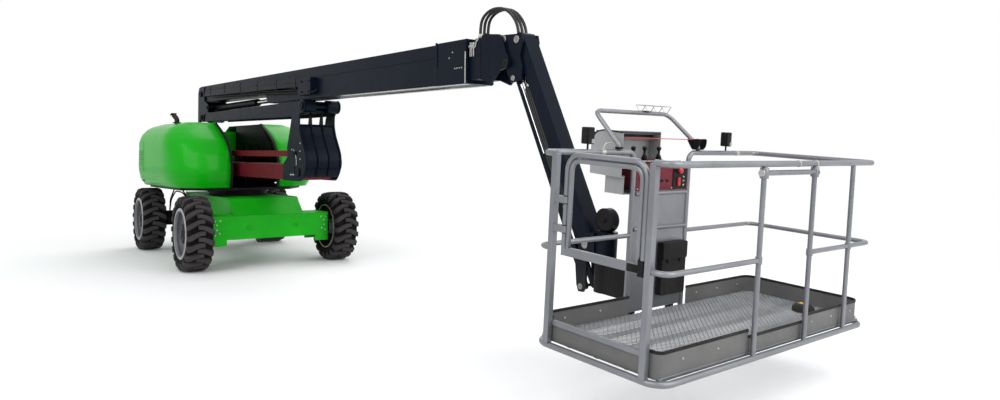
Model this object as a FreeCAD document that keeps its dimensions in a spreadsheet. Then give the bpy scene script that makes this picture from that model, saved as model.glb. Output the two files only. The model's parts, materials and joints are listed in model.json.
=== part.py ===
"""Articulating boom lift with a telescopic main boom, a jib and a work platform.

Frame of the model, in millimetres: X forward along the booms to the platform, Y to
the left, Z up.  The origin is on the ground, on the axis of the slewing ring.  The
superstructure is symmetric about Y = 0, and the chassis under it is parked with the
superstructure slewed by slew_at_rest.
"""
import FreeCAD
import Part
import Sketcher
import math
import os
import re

os.makedirs("parts", exist_ok=True)
doc = FreeCAD.newDocument("BoomLift")
Vector = FreeCAD.Vector

# ---------------------------------------------------------------- driving sizes
SIZES = [
    # chassis and wheels
    ("slew_at_rest", 3.617, "degrees between the chassis and the superstructure"),
    ("wheelbase", 2743, "between the two axles"),
    ("track", 2024, "between the middles of the tyres of one axle"),
    ("tyre_radius", 500, "outside of the tread"),
    ("tyre_width", 350, "of each tyre"),
    ("rim_radius", 318, "bead seat of the rim"),
    ("rim_wall", 14, "of the rim's barrel"),
    ("rim_plate", 16, "thickness of the dished plate of the rim"),
    ("rim_plate_inset", 150, "from the outer face of the tyre to the plate"),
    ("hub_radius", 120, "of the planetary hub in the middle of the rim"),
    ("hub_out", 105, "from the middle of the wheel to the hub's outer face"),
    ("hub_in", 130, "from the middle of the wheel to the hub's inner face"),
    ("frame_half", 490, "half width of the chassis frame"),
    ("frame_wall", 22, "plates of the chassis frame"),
    ("frame_floor", 480, "height of the frame's lower edge"),
    ("frame_arch", 610, "height of the frame's lower edge over the steered axle"),
    ("frame_end_top", 725, "height of the frame's top at its ends"),
    ("frame_top", 930, "height of the raised middle of the frame"),
    ("frame_hump", 1200, "from the middle to where the raised top ends"),
    ("slope_past", 68.5, "from an axle's line out to the foot of the slope"),
    ("frame_tail", 128.5, "from the steered axle's line to that end of the frame"),
    ("beam_half", 209, "half of the drive beam's width along X"),
    ("beam_span", 810, "half length of the drive beam"),
    ("beam_floor", 400, "height of the drive beam's lower edge"),
    ("foot_floor", 320, "height of the feet at the ends of the drive beam"),
    ("foot_inner", 620, "from the middle to the inner side of each foot"),
    ("axle_radius", 90, "tubes of the drive axle"),
    ("bowl_radius", 180, "of the drive housing in the middle of the axle"),
    ("steer_beam_half", 80, "half width of the steered axle's beam"),
    ("steer_beam_depth", 160, "of the steered axle's beam"),
    ("steer_beam_span", 640, "half length of the steered axle's beam"),
    ("kingpin_y", 715, "from the middle to each king pin"),
    ("kingpin_radius", 26, "of each king pin"),
    ("ear_thickness", 30, "of the ears that hold a king pin"),
    ("ear_gap", 170, "between the two ears of a king pin"),
    ("ear_half", 62, "half width of the ears"),
    ("knuckle_radius", 52, "of the steering knuckle round its king pin"),
    ("spindle_radius", 60, "of the steering knuckle's spindle"),
    ("steer_arm", 190, "from a king pin to its track rod end"),
    ("steer_arm_thick", 24, "thickness of the steering arms"),
    ("track_rod_radius", 17, "of the rod between the two steering arms"),
    ("track_rod_drop", 46, "from the middle of a steering arm down to the rod"),
    ("ring_radius", 430, "of the slewing ring"),
    ("ring_top", 1020, "height of the slewing ring's top face"),
    # turntable
    ("deck_thick", 36, "of the turntable deck"),
    ("deck_front", 650, "from the slew axis to the front of the deck"),
    ("deck_rear", 1600, "from the slew axis to the rear of the deck"),
    ("deck_half", 930, "half width of the deck"),
    ("tunnel_half", 345, "from the middle to the inner face of a tunnel wall"),
    ("tunnel_wall", 8, "thickness of a tunnel wall"),
    ("tunnel_drop", 2, "from a hood's top down to the top of a tunnel wall"),
    ("tunnel_front", 560, "from the slew axis to the tunnel's front end"),
    ("tunnel_rear", 1040, "from the slew axis to the tunnel's rear end"),
    ("weight_front", 1250, "from the slew axis to the front of the counterweight"),
    ("weight_rear", 1670, "from the slew axis to the rear of the counterweight"),
    ("weight_half", 960, "half width of the counterweight"),
    ("weight_drop", 475, "from the hood's top down to the counterweight's wide part"),
    ("weight_post_drop", 105, "from the hood's top down to the counterweight's middle part"),
    ("engine_front", -120, "X of the engine's front face"),
    ("engine_rear", -1000, "X of the engine's rear face"),
    ("engine_inner", 420, "from the middle to the engine's inner face"),
    ("engine_outer", 900, "from the middle to the engine's outer face"),
    ("engine_drop", 335, "from the hood's top down to the engine's"),
    ("hood_wall", 8, "thickness of the hoods"),
    ("hood_gap", 0.3, "between a tunnel wall and the inner edge of its hood"),
    ("hood_half", 1130, "from the middle to the outer face of a hood"),
    ("hood_floor", 1062, "height of a hood's lower edge"),
    ("hood_top", 2035, "height of a hood's top"),
    ("hood_rear", 1700, "from the slew axis to the rear of a hood"),
    ("hood_nose", 720, "from the slew axis to the nose of a hood"),
    ("stack_x", -560, "X of the exhaust outlet"),
    ("stack_y", 760, "from the middle to the exhaust outlet"),
    ("stack_radius", 62, "of the exhaust outlet"),
    ("stack_height", 130, "of the exhaust outlet above the hood"),
    # lower arm, its tie, and the link that carries the upper arm
    ("pin_clearance", 0.3, "between a pin and its bore"),
    ("side_plate", 20, "thickness of the side plates that hold the arms' pins"),
    ("side_half", 230, "from the middle to the inner face of those plates"),
    ("lower_pin_x", -550, "X of the lower arm's rear pin"),
    ("lower_pin_z", 1330, "height of the lower arm's rear pin"),
    ("lower_reach", 3170, "between the lower arm's two pins"),
    ("lower_half", 222, "half width of the lower arm"),
    ("lower_depth", 200, "of the lower arm"),
    ("lower_wall", 8, "of the lower arm"),
    ("lower_pin", 38, "radius of the lower arm's pins"),
    ("tie_back", 100, "from a pin of the lower arm back to the tie's pin"),
    ("tie_rise", 240, "from a pin of the lower arm up to the tie's pin"),
    ("tie_depth", 80, "of each bar of the lower tie"),
    ("tie_inner", 150, "from the middle to the inner face of a bar"),
    ("tie_outer", 214, "from the middle to the outer face of a bar"),
    ("tie_pin", 20, "radius of the lower tie's pins"),
    ("web_inner", 70, "from the middle to the inner face of a web of the link"),
    ("web_thick", 12, "thickness of the webs of the link"),
    ("link_wrap", 12, "thickness of the link's front plate"),
    ("upper_pin_x", 2790, "X of the upper arm's front pin"),
    ("upper_pin_z", 2170, "height of the upper arm's pins"),
    ("upper_reach", 4010, "between the upper arm's two pins"),
    ("upper_half", 195, "half width of the upper arm"),
    ("upper_wall", 10, "plates of the upper arm"),
    ("upper_pin", 30, "radius of the upper arm's pins"),
    ("upper_boss", 83, "radius of the upper arm's front boss"),
    ("upper_rear_boss", 54, "radius of the upper arm's rear boss"),
    ("cheek_inner", 60, "from the middle to the inner face of the rear cheeks"),
    ("cheek_outer", 148, "from the middle to the outer face of the rear cheeks"),
    ("rod_back", 50, "from a pin of the upper arm back to its tie's pin"),
    ("rod_drop", 60, "from a pin of the upper arm down to its tie's pin"),
    ("rod_half", 20, "half width of the upper arm's tie"),
    ("rod_pin", 15, "radius of the upper tie's pins"),
    ("rod_eye", 30, "radius of the upper tie's eyes"),
    # upright and boom
    ("upright_inner", 155, "from the middle to the inner face of the upright's plates"),
    ("upright_outer", 175, "from the middle to the outer face of the upright's plates"),
    ("boom_pin_x", -1250, "X of the boom's pivot"),
    ("boom_pin_z", 2560, "height of the boom's pivot"),
    ("boom_pin", 36, "radius of the boom's pivot pin"),
    ("boom_droop", 0.46, "degrees by which the parked boom points down"),
    ("boom_half", 150, "half width of the outer boom"),
    ("boom_above", 128, "from the pivot line up to the boom's top"),
    ("boom_below", 264, "from the pivot line down to the boom's underside"),
    ("boom_relief", 136, "from the pivot line down to the underside at the rear"),
    ("boom_relief_end", 2640, "from the pivot to where the full depth starts"),
    ("boom_wall", 8, "of the outer boom"),
    ("boom_length", 7310, "from the pivot to the outer boom's front end"),
    ("boom_boss", 110, "radius of the boom's boss round its pivot"),
    ("collar_length", 480, "of the sleeve at the outer boom's front end"),
    ("collar_wall", 10, "thickness of that sleeve"),
    ("pad_length", 60, "of the wear pads inside the front end"),
    ("pad_clearance", 0.3, "between the wear pads and the inner boom"),
    ("inner_gap", 20, "between the outer faces of the outer and the inner boom"),
    ("inner_wall", 7, "of the inner boom"),
    ("inner_rear", 3450, "from the pivot to the inner boom's rear end"),
    ("inner_front", 7500, "from the pivot to the inner boom's front end"),
    ("head_plate", 22, "thickness of the boom head's two plates"),
    ("head_inner", 105, "from the middle to the inner face of those plates"),
    ("lift_base_x", -950, "X of the lift cylinder's lower pin"),
    ("lift_base_z", 2318, "height of the lift cylinder's lower pin"),
    ("lift_eye_x", 1310, "X of the lift cylinder's rod eye"),
    ("lift_eye_z", 2328, "height of the lift cylinder's rod eye"),
    ("lift_pin", 24, "radius of the lift cylinder's pins"),
    ("lift_barrel", 55, "radius of the lift cylinder's barrel"),
    ("lift_rod", 32, "radius of the lift cylinder's rod"),
    ("lift_gland", 1720, "from the lower pin to the end of the barrel"),
    ("lift_eye", 44, "radius of the lift cylinder's eyes"),
    ("tray_inner", 150.3, "from the middle to the hose tray on the boom's side"),
    ("tray_outer", 235, "from the middle to the tray's outer face"),
    # jib
    ("bracket_inner", 80, "from the middle to the inner face of the jib bracket"),
    ("bracket_outer", 100, "from the middle to the outer face of the jib bracket"),
    ("level_pin_x", 6610, "X of the pin between the boom's head and the jib bracket"),
    ("level_pin_z", 2370, "height of that pin"),
    ("level_pin", 24, "radius of that pin"),
    ("hose", 14, "radius of the hoses over the boom's head"),
    ("jib_pin_x", 6715, "X of the jib's upper pin"),
    ("jib_pin_z", 2565, "height of the jib's upper pin"),
    ("jib_angle", 64.3, "degrees by which the parked jib points down"),
    ("jib_length", 1870, "between the jib's two pins"),
    ("jib_pin", 20, "radius of the jib's pins"),
    ("jib_half", 75, "half width of the jib"),
    ("jib_depth", 130, "of the jib"),
    ("jib_wall", 6, "of the jib"),
    ("jib_tie_back", 45, "from a pin of the jib back to the tie's pin"),
    ("jib_tie_drop", 330, "from a pin of the jib down to the tie's pin"),
    ("jib_tie_half", 50, "half width of the jib's tie"),
    ("jib_tie_bar", 9, "thickness of the two bars of the tie"),
    ("jib_tie_depth", 60, "of the tie"),
    ("jib_tie_pin", 12, "radius of the tie's pins"),
    ("jib_cyl_x", 7108, "X of the jib cylinder's lower pin"),
    ("jib_cyl_z", 1494, "height of the jib cylinder's lower pin"),
    ("jib_eye_x", 6722, "X of the jib cylinder's rod eye"),
    ("jib_eye_z", 2250, "height of the jib cylinder's rod eye"),
    ("jib_cyl_pin", 14, "radius of the jib cylinder's pins"),
    ("jib_barrel", 35, "radius of the jib cylinder's barrel"),
    ("jib_rod", 20, "radius of the jib cylinder's rod"),
    ("jib_gland", 720, "from the lower pin to the end of the barrel"),
    ("jib_eye", 27, "radius of the jib cylinder's eyes"),
    # platform, in its own frame that is tilted with it
    ("deck_ahead", 1071.6, "from the jib's lower pin to the middle of the platform's floor"),
    ("deck_drop", 482, "from the jib's lower pin down to the platform's lowest tube"),
    ("deck_tilt", 4.0, "degrees by which the platform's far side hangs lower"),
    ("swing_x", -970, "from the middle of the platform to its swing axis"),
    ("swing_radius", 82, "of the rotator's housing"),
    ("swing_low", 315, "lower end of the rotator's housing"),
    ("swing_high", 520, "upper end of the rotator's housing"),
    ("support_depth", 262, "depth of the arm that carries the platform"),
    ("support_half", 240, "half width of the frame on the platform's machine side"),
    ("low_bar", 80, "height of that frame's lower bar"),
    ("basket_length", 2349, "between the middles of the tubes at the short sides"),
    ("basket_width", 956, "between the middles of the tubes at the long sides"),
    ("basket_corner", 109, "radius of the basket's corners"),
    ("rail_height", 1164, "from the lowest tube up to the top rail"),
    ("mid_rail", 590, "from the lowest tube up to the middle rail"),
    ("rail_tube", 19, "radius of the basket's tubes"),
    ("post_half", 20, "half width of the posts"),
    ("toe_top", 170, "top edge of the toe boards"),
    ("toe_thick", 4, "thickness of the toe boards"),
    ("floor_z", 48, "top of the floor"),
    ("floor_thick", 6, "thickness of the floor"),
    ("gate_left", 268, "from the middle of the gate's opening to its hinged tube"),
    ("gate_low", 590, "height of the gate's lower rail"),
    ("gate_gap", 5, "between the gate's free tube and the post beside it"),
    ("gate_tube", 17, "radius of the gate's tubes"),
    ("entry_low", -290, "Y of the first post of the sliding bar's opening"),
    ("entry_high", 315, "Y of the second post of the sliding bar's opening"),
    ("entry_parked", 1110, "height of the sliding bar at its upper stop"),
    ("console_left", 325, "from the middle to the right-hand tube of the console"),
    ("console_right", 295, "from the middle to the left-hand tube of the console"),
    ("last_post", 850, "Y of the post behind the sliding bar's opening"),
    ("shield_wall", 5, "thickness of the housing's walls"),
    ("shield_depth", 290, "of the housing round the control box"),
    ("shield_low", 872, "height of that housing's lowest face"),
    ("shield_floor", 998, "height of the shelf where that housing gets deeper"),
    ("shield_high", 1292, "height of that housing's top"),
    ("shield_left", 430, "from the middle to the right-hand end of that housing"),
    ("shield_right", 205, "from the middle to the left-hand end of that housing"),
    ("crush_left", 450, "from the middle to the loop's right-hand foot"),
    ("crush_right", 400, "from the middle to the loop's left-hand foot"),
    ("crush_top", 1440, "height of the loop's top"),
    ("crush_lean", 235, "by which the loop's top leans towards the machine"),
    ("panel_top", 895, "height of the top of the console's sheet"),
    ("box_top", 1090, "height of the control box's front edge"),
]

sheet = doc.addObject("Spreadsheet::Sheet", "Sizes")
for row, (alias, value, meaning) in enumerate(SIZES, start=1):
    sheet.set(f"A{row}", meaning)
    sheet.set(f"B{row}", str(value))
    sheet.setAlias(f"B{row}", alias)
doc.recompute()

ALIASES = {alias for alias, value, meaning in SIZES}


def cells(text):
    """The expression with each size's name led by the name of the sheet."""
    return re.sub(r"[a-z_]+", lambda word: "Sizes." * (word.group() in ALIASES) + word.group(), str(text))


def number(text):
    """The expression's value, in millimetres or degrees."""
    value = sheet.evalExpression(str(text))
    return getattr(value, "Value", value)


# ---------------------------------------------------------------- makers
TURNS = {
    "x": FreeCAD.Rotation(Vector(0, 1, 0), 90),
    "y": FreeCAD.Rotation(Vector(1, 0, 0), -90),
    "z": FreeCAD.Rotation(),
}
CROSS = {"x": "yz", "y": "xz", "z": "xy"}
PLANES = {"x": "YZ_Plane", "y": "XZ_Plane", "z": "XY_Plane"}


def block(x, y, z):
    """A box: x, y and z are its (low, high) expressions."""
    box = doc.addObject("Part::Box", "Block")
    for axis, side, (low, high) in zip("xyz", ("Length", "Width", "Height"), (x, y, z)):
        box.setExpression(side, cells(f"({high}) - ({low})"))
        box.setExpression(f"Placement.Base.{axis}", cells(low))
    return box


def rod(axis, centre, span, radius):
    """A round bar along an axis, through centre in the two other axes, over span."""
    bar = doc.addObject("Part::Cylinder", "Rod")
    bar.Placement = FreeCAD.Placement(Vector(), TURNS[axis])
    bar.setExpression("Radius", cells(radius))
    bar.setExpression("Height", cells(f"({span[1]}) - ({span[0]})"))
    bar.setExpression(f"Placement.Base.{axis}", cells(span[0]))
    for other, place in zip(CROSS[axis], centre):
        bar.setExpression(f"Placement.Base.{other}", cells(place))
    return bar


def bind(sketch, kind, name, value, *where):
    """One dimension of a sketch, tied to an expression."""
    index = sketch.addConstraint(Sketcher.Constraint(kind, *where, number(value)))
    sketch.renameConstraint(index, name)
    sketch.setExpression(f"Constraints.{name}", cells(value))


def outline_sketch(body, axis, points):
    """A closed outline of straight lines in the origin plane across an axis."""
    sketch = body.newObject("Sketcher::SketchObject", "Outline")
    plane = next(f for f in body.Origin.OriginFeatures if f.Role == PLANES[axis])
    sketch.AttachmentSupport = [(plane, "")]
    sketch.MapMode = "FlatFace"
    corners = [Vector(number(a), number(b), 0) for a, b in points]
    following = corners[1:] + corners[:1]
    sketch.addGeometry([Part.LineSegment(*pair) for pair in zip(corners, following)], False)
    count = len(points)
    for i in range(count):
        sketch.addConstraint(Sketcher.Constraint("Coincident", i, 2, (i + 1) % count, 1))
    for i, (a, b) in enumerate(points):
        bind(sketch, "DistanceX", f"across{i}", a, -1, 1, i, 1)
        bind(sketch, "DistanceY", f"up{i}", b, -1, 1, i, 1)
    return sketch


def plate(axis, points, span):
    """An outline across an axis, padded over span along it."""
    body = doc.addObject("PartDesign::Body", "Plate")
    sketch = outline_sketch(body, axis, points)
    start = f"-({span[1]})" if axis == "y" else span[0]
    sketch.setExpression("AttachmentOffset.Base.z", cells(start))
    pad = body.newObject("PartDesign::Pad", "Pad")
    pad.Profile = sketch
    pad.setExpression("Length", cells(f"({span[1]}) - ({span[0]})"))
    return body


def turned(points):
    """A profile of (along Y, radius) points turned about the Y axis."""
    body = doc.addObject("PartDesign::Body", "Turned")
    sketch = outline_sketch(body, "x", points)
    turn = body.newObject("PartDesign::Revolution", "Revolution")
    turn.Profile = sketch
    turn.ReferenceAxis = (sketch, ["H_Axis"])
    turn.Angle = 360
    return body


def join(*pieces):
    """One solid made of pieces that touch or overlap."""
    fused = doc.addObject("Part::MultiFuse", "Joined")
    fused.Shapes = list(pieces)
    fused.Refine = True
    return fused


def minus(piece, *tools):
    """The piece with the tools' space cut out of it."""
    for tool in tools:
        cut = doc.addObject("Part::Cut", "Cut")
        cut.Base = piece
        cut.Tool = tool
        piece = cut
    return piece


def common(*pieces):
    """The space that all the pieces share."""
    shared = doc.addObject("Part::MultiCommon", "Shared")
    shared.Shapes = list(pieces)
    return shared


def group(*pieces):
    """Pieces that stay apart, kept as one object."""
    kept = doc.addObject("Part::Compound", "Group")
    kept.Links = list(pieces)
    return kept


def both_sides(piece):
    """The piece and its mirror image on the other side of Y = 0."""
    mirror = doc.addObject("Part::Mirroring", "Mirror")
    mirror.Source = piece
    mirror.Normal = Vector(0, 1, 0)
    return [piece, mirror]


def mirrored(piece):
    """Only the mirror image on the other side of Y = 0."""
    return both_sides(piece)[1]


def tube(points, radius, bend, closed=False, name="Tube"):
    """A round bar along straight runs, with an arc of radius bend at each corner."""
    places = [Vector(*(number(part) for part in point)) for point in points]
    count = len(places)
    arcs = {}
    for i in range(0 if closed else 1, count if closed else count - 1):
        here = places[i]
        back = (places[i - 1] - here).normalize()
        ahead = (places[(i + 1) % count] - here).normalize()
        half = back.getAngle(ahead) / 2
        reach = number(bend) / math.tan(half)
        centre = here + (back + ahead).normalize() * (number(bend) / math.sin(half))
        middle = centre + (here - centre).normalize() * number(bend)
        arcs[i] = (here + back * reach, middle, here + ahead * reach)
    edges = []
    for i in range(count if closed else count - 1):
        j = (i + 1) % count
        start = arcs[i][2] if i in arcs else places[i]
        end = arcs[j][0] if j in arcs else places[j]
        edges.append(Part.LineSegment(start, end).toShape())
        if j in arcs:
            edges.append(Part.Arc(*arcs[j]).toShape())
    path = Part.Wire(edges)
    first = edges[0]
    along = first.tangentAt(first.FirstParameter)
    section = Part.Wire(Part.makeCircle(number(radius), first.valueAt(first.FirstParameter), along))
    made = doc.addObject("Part::Feature", name)
    made.Shape = path.makePipeShell([section], True, False)
    made.Placement = FreeCAD.Placement()
    return made


FOOT_X = "(jib_pin_x + jib_length * cos(jib_angle))"
FOOT_Z = "(jib_pin_z - jib_length * sin(jib_angle))"
FRAMES = {
    "chassis": (("0", "0", "0"), Vector(0, 0, 1), "-slew_at_rest"),
    "boom": (("boom_pin_x", "0", "boom_pin_z"), Vector(0, 1, 0), "boom_droop"),
    "lift": (("lift_base_x", "0", "lift_base_z"), Vector(0, 1, 0),
             "-atan2(lift_eye_z - lift_base_z; lift_eye_x - lift_base_x)"),
    "jib": (("jib_pin_x", "0", "jib_pin_z"), Vector(0, 1, 0), "jib_angle"),
    "jib_tie": (("jib_pin_x - jib_tie_back", "0", "jib_pin_z - jib_tie_drop"), Vector(0, 1, 0),
                "jib_angle"),
    "jib_cylinder": (("jib_cyl_x", "0", "jib_cyl_z"), Vector(0, 1, 0),
                     "-atan2(jib_eye_z - jib_cyl_z; jib_eye_x - jib_cyl_x)"),
    "platform": ((f"{FOOT_X} + deck_ahead", "0", f"{FOOT_Z} - deck_drop"), Vector(0, 1, 0), "deck_tilt"),
}


def placed(piece, frame):
    """The piece, drawn in a named frame, put at that frame's place."""
    base, axis, angle = FRAMES[frame]
    holder = group(piece)
    holder.Placement = FreeCAD.Placement(Vector(), FreeCAD.Rotation(axis, 1))
    for letter, place in zip("xyz", base):
        holder.setExpression(f"Placement.Base.{letter}", cells(place))
    holder.setExpression("Placement.Rotation.Angle", cells(angle))
    return holder


def moved(piece, place):
    """The piece shifted by an (x, y, z) of expressions."""
    holder = group(piece)
    for letter, value in zip("xyz", place):
        holder.setExpression(f"Placement.Base.{letter}", cells(value))
    return holder


NODES = []


def node(label, piece, frame=None):
    """A sub-part: its label names its file."""
    holder = placed(piece, frame) if frame else piece
    holder.Label = label
    NODES.append(holder)
    return holder


def pin(x, z, half, radius):
    """A cross pin through Y = 0."""
    return rod("y", (x, z), (f"-({half})", half), radius)


def bore(x, z, half, radius):
    """The hole for such a pin, a little wider and through both faces."""
    return rod("y", (x, z), (f"-({half}) - 5", f"{half} + 5"), f"{radius} + pin_clearance")


# ---------------------------------------------------------------- chassis
AXLE = {"drive": "wheelbase / 2", "steer": "-wheelbase / 2"}
SIDES = {"left": 1, "right": -1}


def chassis_frame():
    """Welded frame, open below, with a raised middle and the drive beam across one end."""
    outer = plate("y", [
        ("-(wheelbase / 2 + frame_tail)", "frame_arch"), ("-frame_hump", "frame_arch"),
        ("-frame_hump", "frame_floor"), ("wheelbase / 2 - beam_half / 2", "frame_floor"),
        ("wheelbase / 2 - beam_half / 2", "frame_end_top"), ("(wheelbase / 2 + slope_past)", "frame_end_top"),
        ("frame_hump", "frame_top"), ("-frame_hump", "frame_top"),
        ("-(wheelbase / 2 + slope_past)", "frame_end_top"), ("-(wheelbase / 2 + frame_tail)", "frame_end_top"),
    ], ("-frame_half", "frame_half"))
    inner_end = "wheelbase / 2 - beam_half - frame_wall"
    inner = plate("y", [
        ("-(wheelbase / 2 + frame_tail) + frame_wall", "frame_arch - 5"),
        ("-frame_hump + frame_wall", "frame_arch - 5"),
        ("-frame_hump + frame_wall", "frame_floor - 5"),
        (inner_end, "frame_floor - 5"), (inner_end, "frame_top - frame_wall"),
        ("-frame_hump", "frame_top - frame_wall"),
        ("-(wheelbase / 2 + slope_past)", "frame_end_top - frame_wall"),
        ("-(wheelbase / 2 + frame_tail) + frame_wall", "frame_end_top - frame_wall"),
    ], ("-frame_half + frame_wall", "frame_half - frame_wall"))
    beam_low = "wheelbase / 2 - beam_half"
    beam_high = "wheelbase / 2 + beam_half"
    beam = block((beam_low, beam_high), ("-beam_span", "beam_span"), ("beam_floor", "frame_end_top"))
    feet = both_sides(block((beam_low, beam_high), ("foot_inner", "beam_span"),
                            ("foot_floor", "beam_floor")))
    cradle = block((f"{AXLE['steer']} - steer_beam_half - 25", f"{AXLE['steer']} + steer_beam_half + 25"),
                   ("-frame_half + 2", "frame_half - 2"), ("frame_arch", "frame_arch + frame_wall"))
    room = block((f"{beam_low} + frame_wall", f"{beam_high} - frame_wall"),
                 ("-beam_span + frame_wall", "beam_span - frame_wall"),
                 ("foot_floor - 5", "frame_end_top - frame_wall"))
    holes = pin("wheelbase / 2", "tyre_radius", "beam_span + 5", "axle_radius + pin_clearance")
    return minus(join(minus(outer, inner), beam, cradle, *feet), room, holes)


def drive_axle():
    """Axle tube with its round drive housing, and a spindle for each wheel."""
    centre = ("wheelbase / 2", "tyre_radius")
    return join(
        pin(*centre, "track / 2 - hub_in - 5", "axle_radius"),
        pin(*centre, "bowl_radius * 0.75", "bowl_radius"),
        pin(*centre, "track / 2 - 60", "spindle_radius * 0.75"),
    )


def steer_axle():
    """Beam of the steered axle, hung under the frame, with an ear above and below each king pin."""
    x = AXLE["steer"]
    beam = block((f"{x} - steer_beam_half", f"{x} + steer_beam_half"),
                 ("-steer_beam_span", "steer_beam_span"),
                 ("tyre_radius - steer_beam_depth / 2", "tyre_radius + steer_beam_depth / 2"))
    saddle = block((f"{x} - steer_beam_half", f"{x} + steer_beam_half"), ("-frame_half / 3", "frame_half / 3"),
                   ("tyre_radius + steer_beam_depth / 2", "frame_arch"))
    pieces = [beam, saddle]
    ears_low = ("tyre_radius - ear_gap / 2 - ear_thickness", "tyre_radius - ear_gap / 2")
    ears_high = ("tyre_radius + ear_gap / 2", "tyre_radius + ear_gap / 2 + ear_thickness")
    ear_x = (f"{x} - ear_half", f"{x} + ear_half")
    for ear_z in (ears_low, ears_high):
        pieces += both_sides(block(ear_x, ("steer_beam_span - ear_thickness", "kingpin_y + ear_half"), ear_z))
    pieces += both_sides(block(ear_x, ("steer_beam_span - ear_thickness", "kingpin_y - knuckle_radius - 6"),
                               (ears_low[0], ears_high[1])))
    pieces += both_sides(rod("z", (x, "kingpin_y"), (ears_low[0], ears_high[1]), "kingpin_radius"))
    return join(*pieces)


def steer_knuckle(side):
    """Steering knuckle that turns on its king pin, with the spindle and the steering arm."""
    x = AXLE["steer"]
    body = rod("z", (x, "kingpin_y"), ("tyre_radius - ear_gap / 2 + 1", "tyre_radius + ear_gap / 2 - 1"),
               "knuckle_radius")
    spindle = rod("y", (x, "tyre_radius"), ("kingpin_y", "track / 2 - hub_in - 5"), "spindle_radius")
    stub = rod("y", (x, "tyre_radius"), ("kingpin_y", "track / 2 - 60"), "spindle_radius * 0.75")
    arm_z = ("tyre_radius - spindle_radius", "tyre_radius - spindle_radius + steer_arm_thick")
    arm_y = ("kingpin_y + ear_half + 8", "kingpin_y + ear_half + 36")
    arm = block((f"{x} - steer_arm - 26", x), arm_y, arm_z)
    toe = block((f"{x} - steer_arm - 26", f"{x} - steer_arm + 26"), ("kingpin_y - 26", arm_y[1]), arm_z)
    ball = rod("z", (f"{x} - steer_arm", "kingpin_y"),
               ("tyre_radius - spindle_radius - track_rod_drop - track_rod_radius", arm_z[0]), "12")
    hole = rod("z", (x, "kingpin_y"), ("tyre_radius - ear_gap", "tyre_radius + ear_gap"),
               "kingpin_radius + pin_clearance")
    knuckle = minus(join(body, spindle, stub, arm, toe, ball), hole)
    return knuckle if side == "left" else mirrored(knuckle)


def track_rod():
    """Rod that ties the two steering arms."""
    x = f"{AXLE['steer']} - steer_arm"
    z = "tyre_radius - spindle_radius - track_rod_drop"
    eye_z = (f"{z} - track_rod_radius", f"{z} + track_rod_radius")
    eyes = both_sides(rod("z", (x, "kingpin_y"), eye_z, "25"))
    holes = both_sides(rod("z", (x, "kingpin_y"), (f"{eye_z[0]} - 5", f"{eye_z[1]} + 5"),
                           "12 + pin_clearance"))
    return minus(join(pin(x, z, "kingpin_y", "track_rod_radius"), *eyes), *holes)


def tyre():
    """Tyre outline turned about its axle."""
    half = "tyre_width / 2"
    right = [
        ("tyre_radius", 35), ("tyre_radius - 14", 17), ("tyre_radius - 50", 3), ("tyre_radius - 100", 0),
        ("tyre_radius - 150", 3), ("rim_radius", 25),
    ]
    points = [(f"{half} - {step}", radius) for radius, step in right]
    points += [(f"-{half} + {step}", radius) for radius, step in reversed(right)]
    return turned(points)


def rim():
    """Barrel, dished plate and hub in one turned piece, with the bore for the spindle."""
    seat = "rim_radius - pin_clearance"
    inside = "rim_radius - rim_wall"
    face = "tyre_width / 2 - rim_plate_inset"
    bore_radius = "spindle_radius * 0.75 + pin_clearance"
    return turned([
        ("-hub_in", bore_radius), ("-hub_in", "hub_radius - 10"), ("-hub_in / 3", "hub_radius"),
        (f"{face} - rim_plate", "hub_radius"), (f"{face} - rim_plate", inside),
        ("-tyre_width / 2 + 15", inside), ("-tyre_width / 2 + 15", seat),
        ("tyre_width / 2 - 10", seat), ("tyre_width / 2 - 10", inside),
        (face, inside), (face, "hub_radius"), ("hub_out", "hub_radius - 8"), ("hub_out", "0"),
        ("-59", "0"), ("-59", bore_radius),
    ])


node("chassis_frame", chassis_frame(), "chassis")
node("drive_axle", drive_axle(), "chassis")
node("steer_axle", steer_axle(), "chassis")
node("slewing_ring", rod("z", ("0", "0"), ("frame_top", "ring_top - pin_clearance"), "ring_radius"), "chassis")
node("track_rod", track_rod(), "chassis")
for side in SIDES:
    node(f"steer_knuckle_{side}", steer_knuckle(side), "chassis")
for axle, axle_x in AXLE.items():
    for side, sign in SIDES.items():
        place = (axle_x, f"{sign} * track / 2", "tyre_radius")
        node(f"tyre_{axle}_{side}", moved(tyre(), place), "chassis")
        wheel = rim() if side == "left" else mirrored(rim())
        node(f"rim_{axle}_{side}", moved(wheel, place), "chassis")


# ---------------------------------------------------------------- turntable
def turntable_deck():
    """Thick plate that turns on the slewing ring, with cut corners."""
    cut = "deck_half / 4"
    return plate("z", [
        ("-deck_rear", f"-deck_half + {cut}"), (f"-deck_rear + {cut}", "-deck_half"),
        (f"deck_front - 2 * {cut}", "-deck_half"), ("deck_front", f"-deck_half + 1.6 * {cut}"),
        ("deck_front", f"deck_half - 1.6 * {cut}"), (f"deck_front - 2 * {cut}", "deck_half"),
        (f"-deck_rear + {cut}", "deck_half"), ("-deck_rear", f"deck_half - {cut}"),
    ], ("ring_top", "ring_top + deck_thick"))


DECK_TOP = "ring_top + deck_thick"


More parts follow.
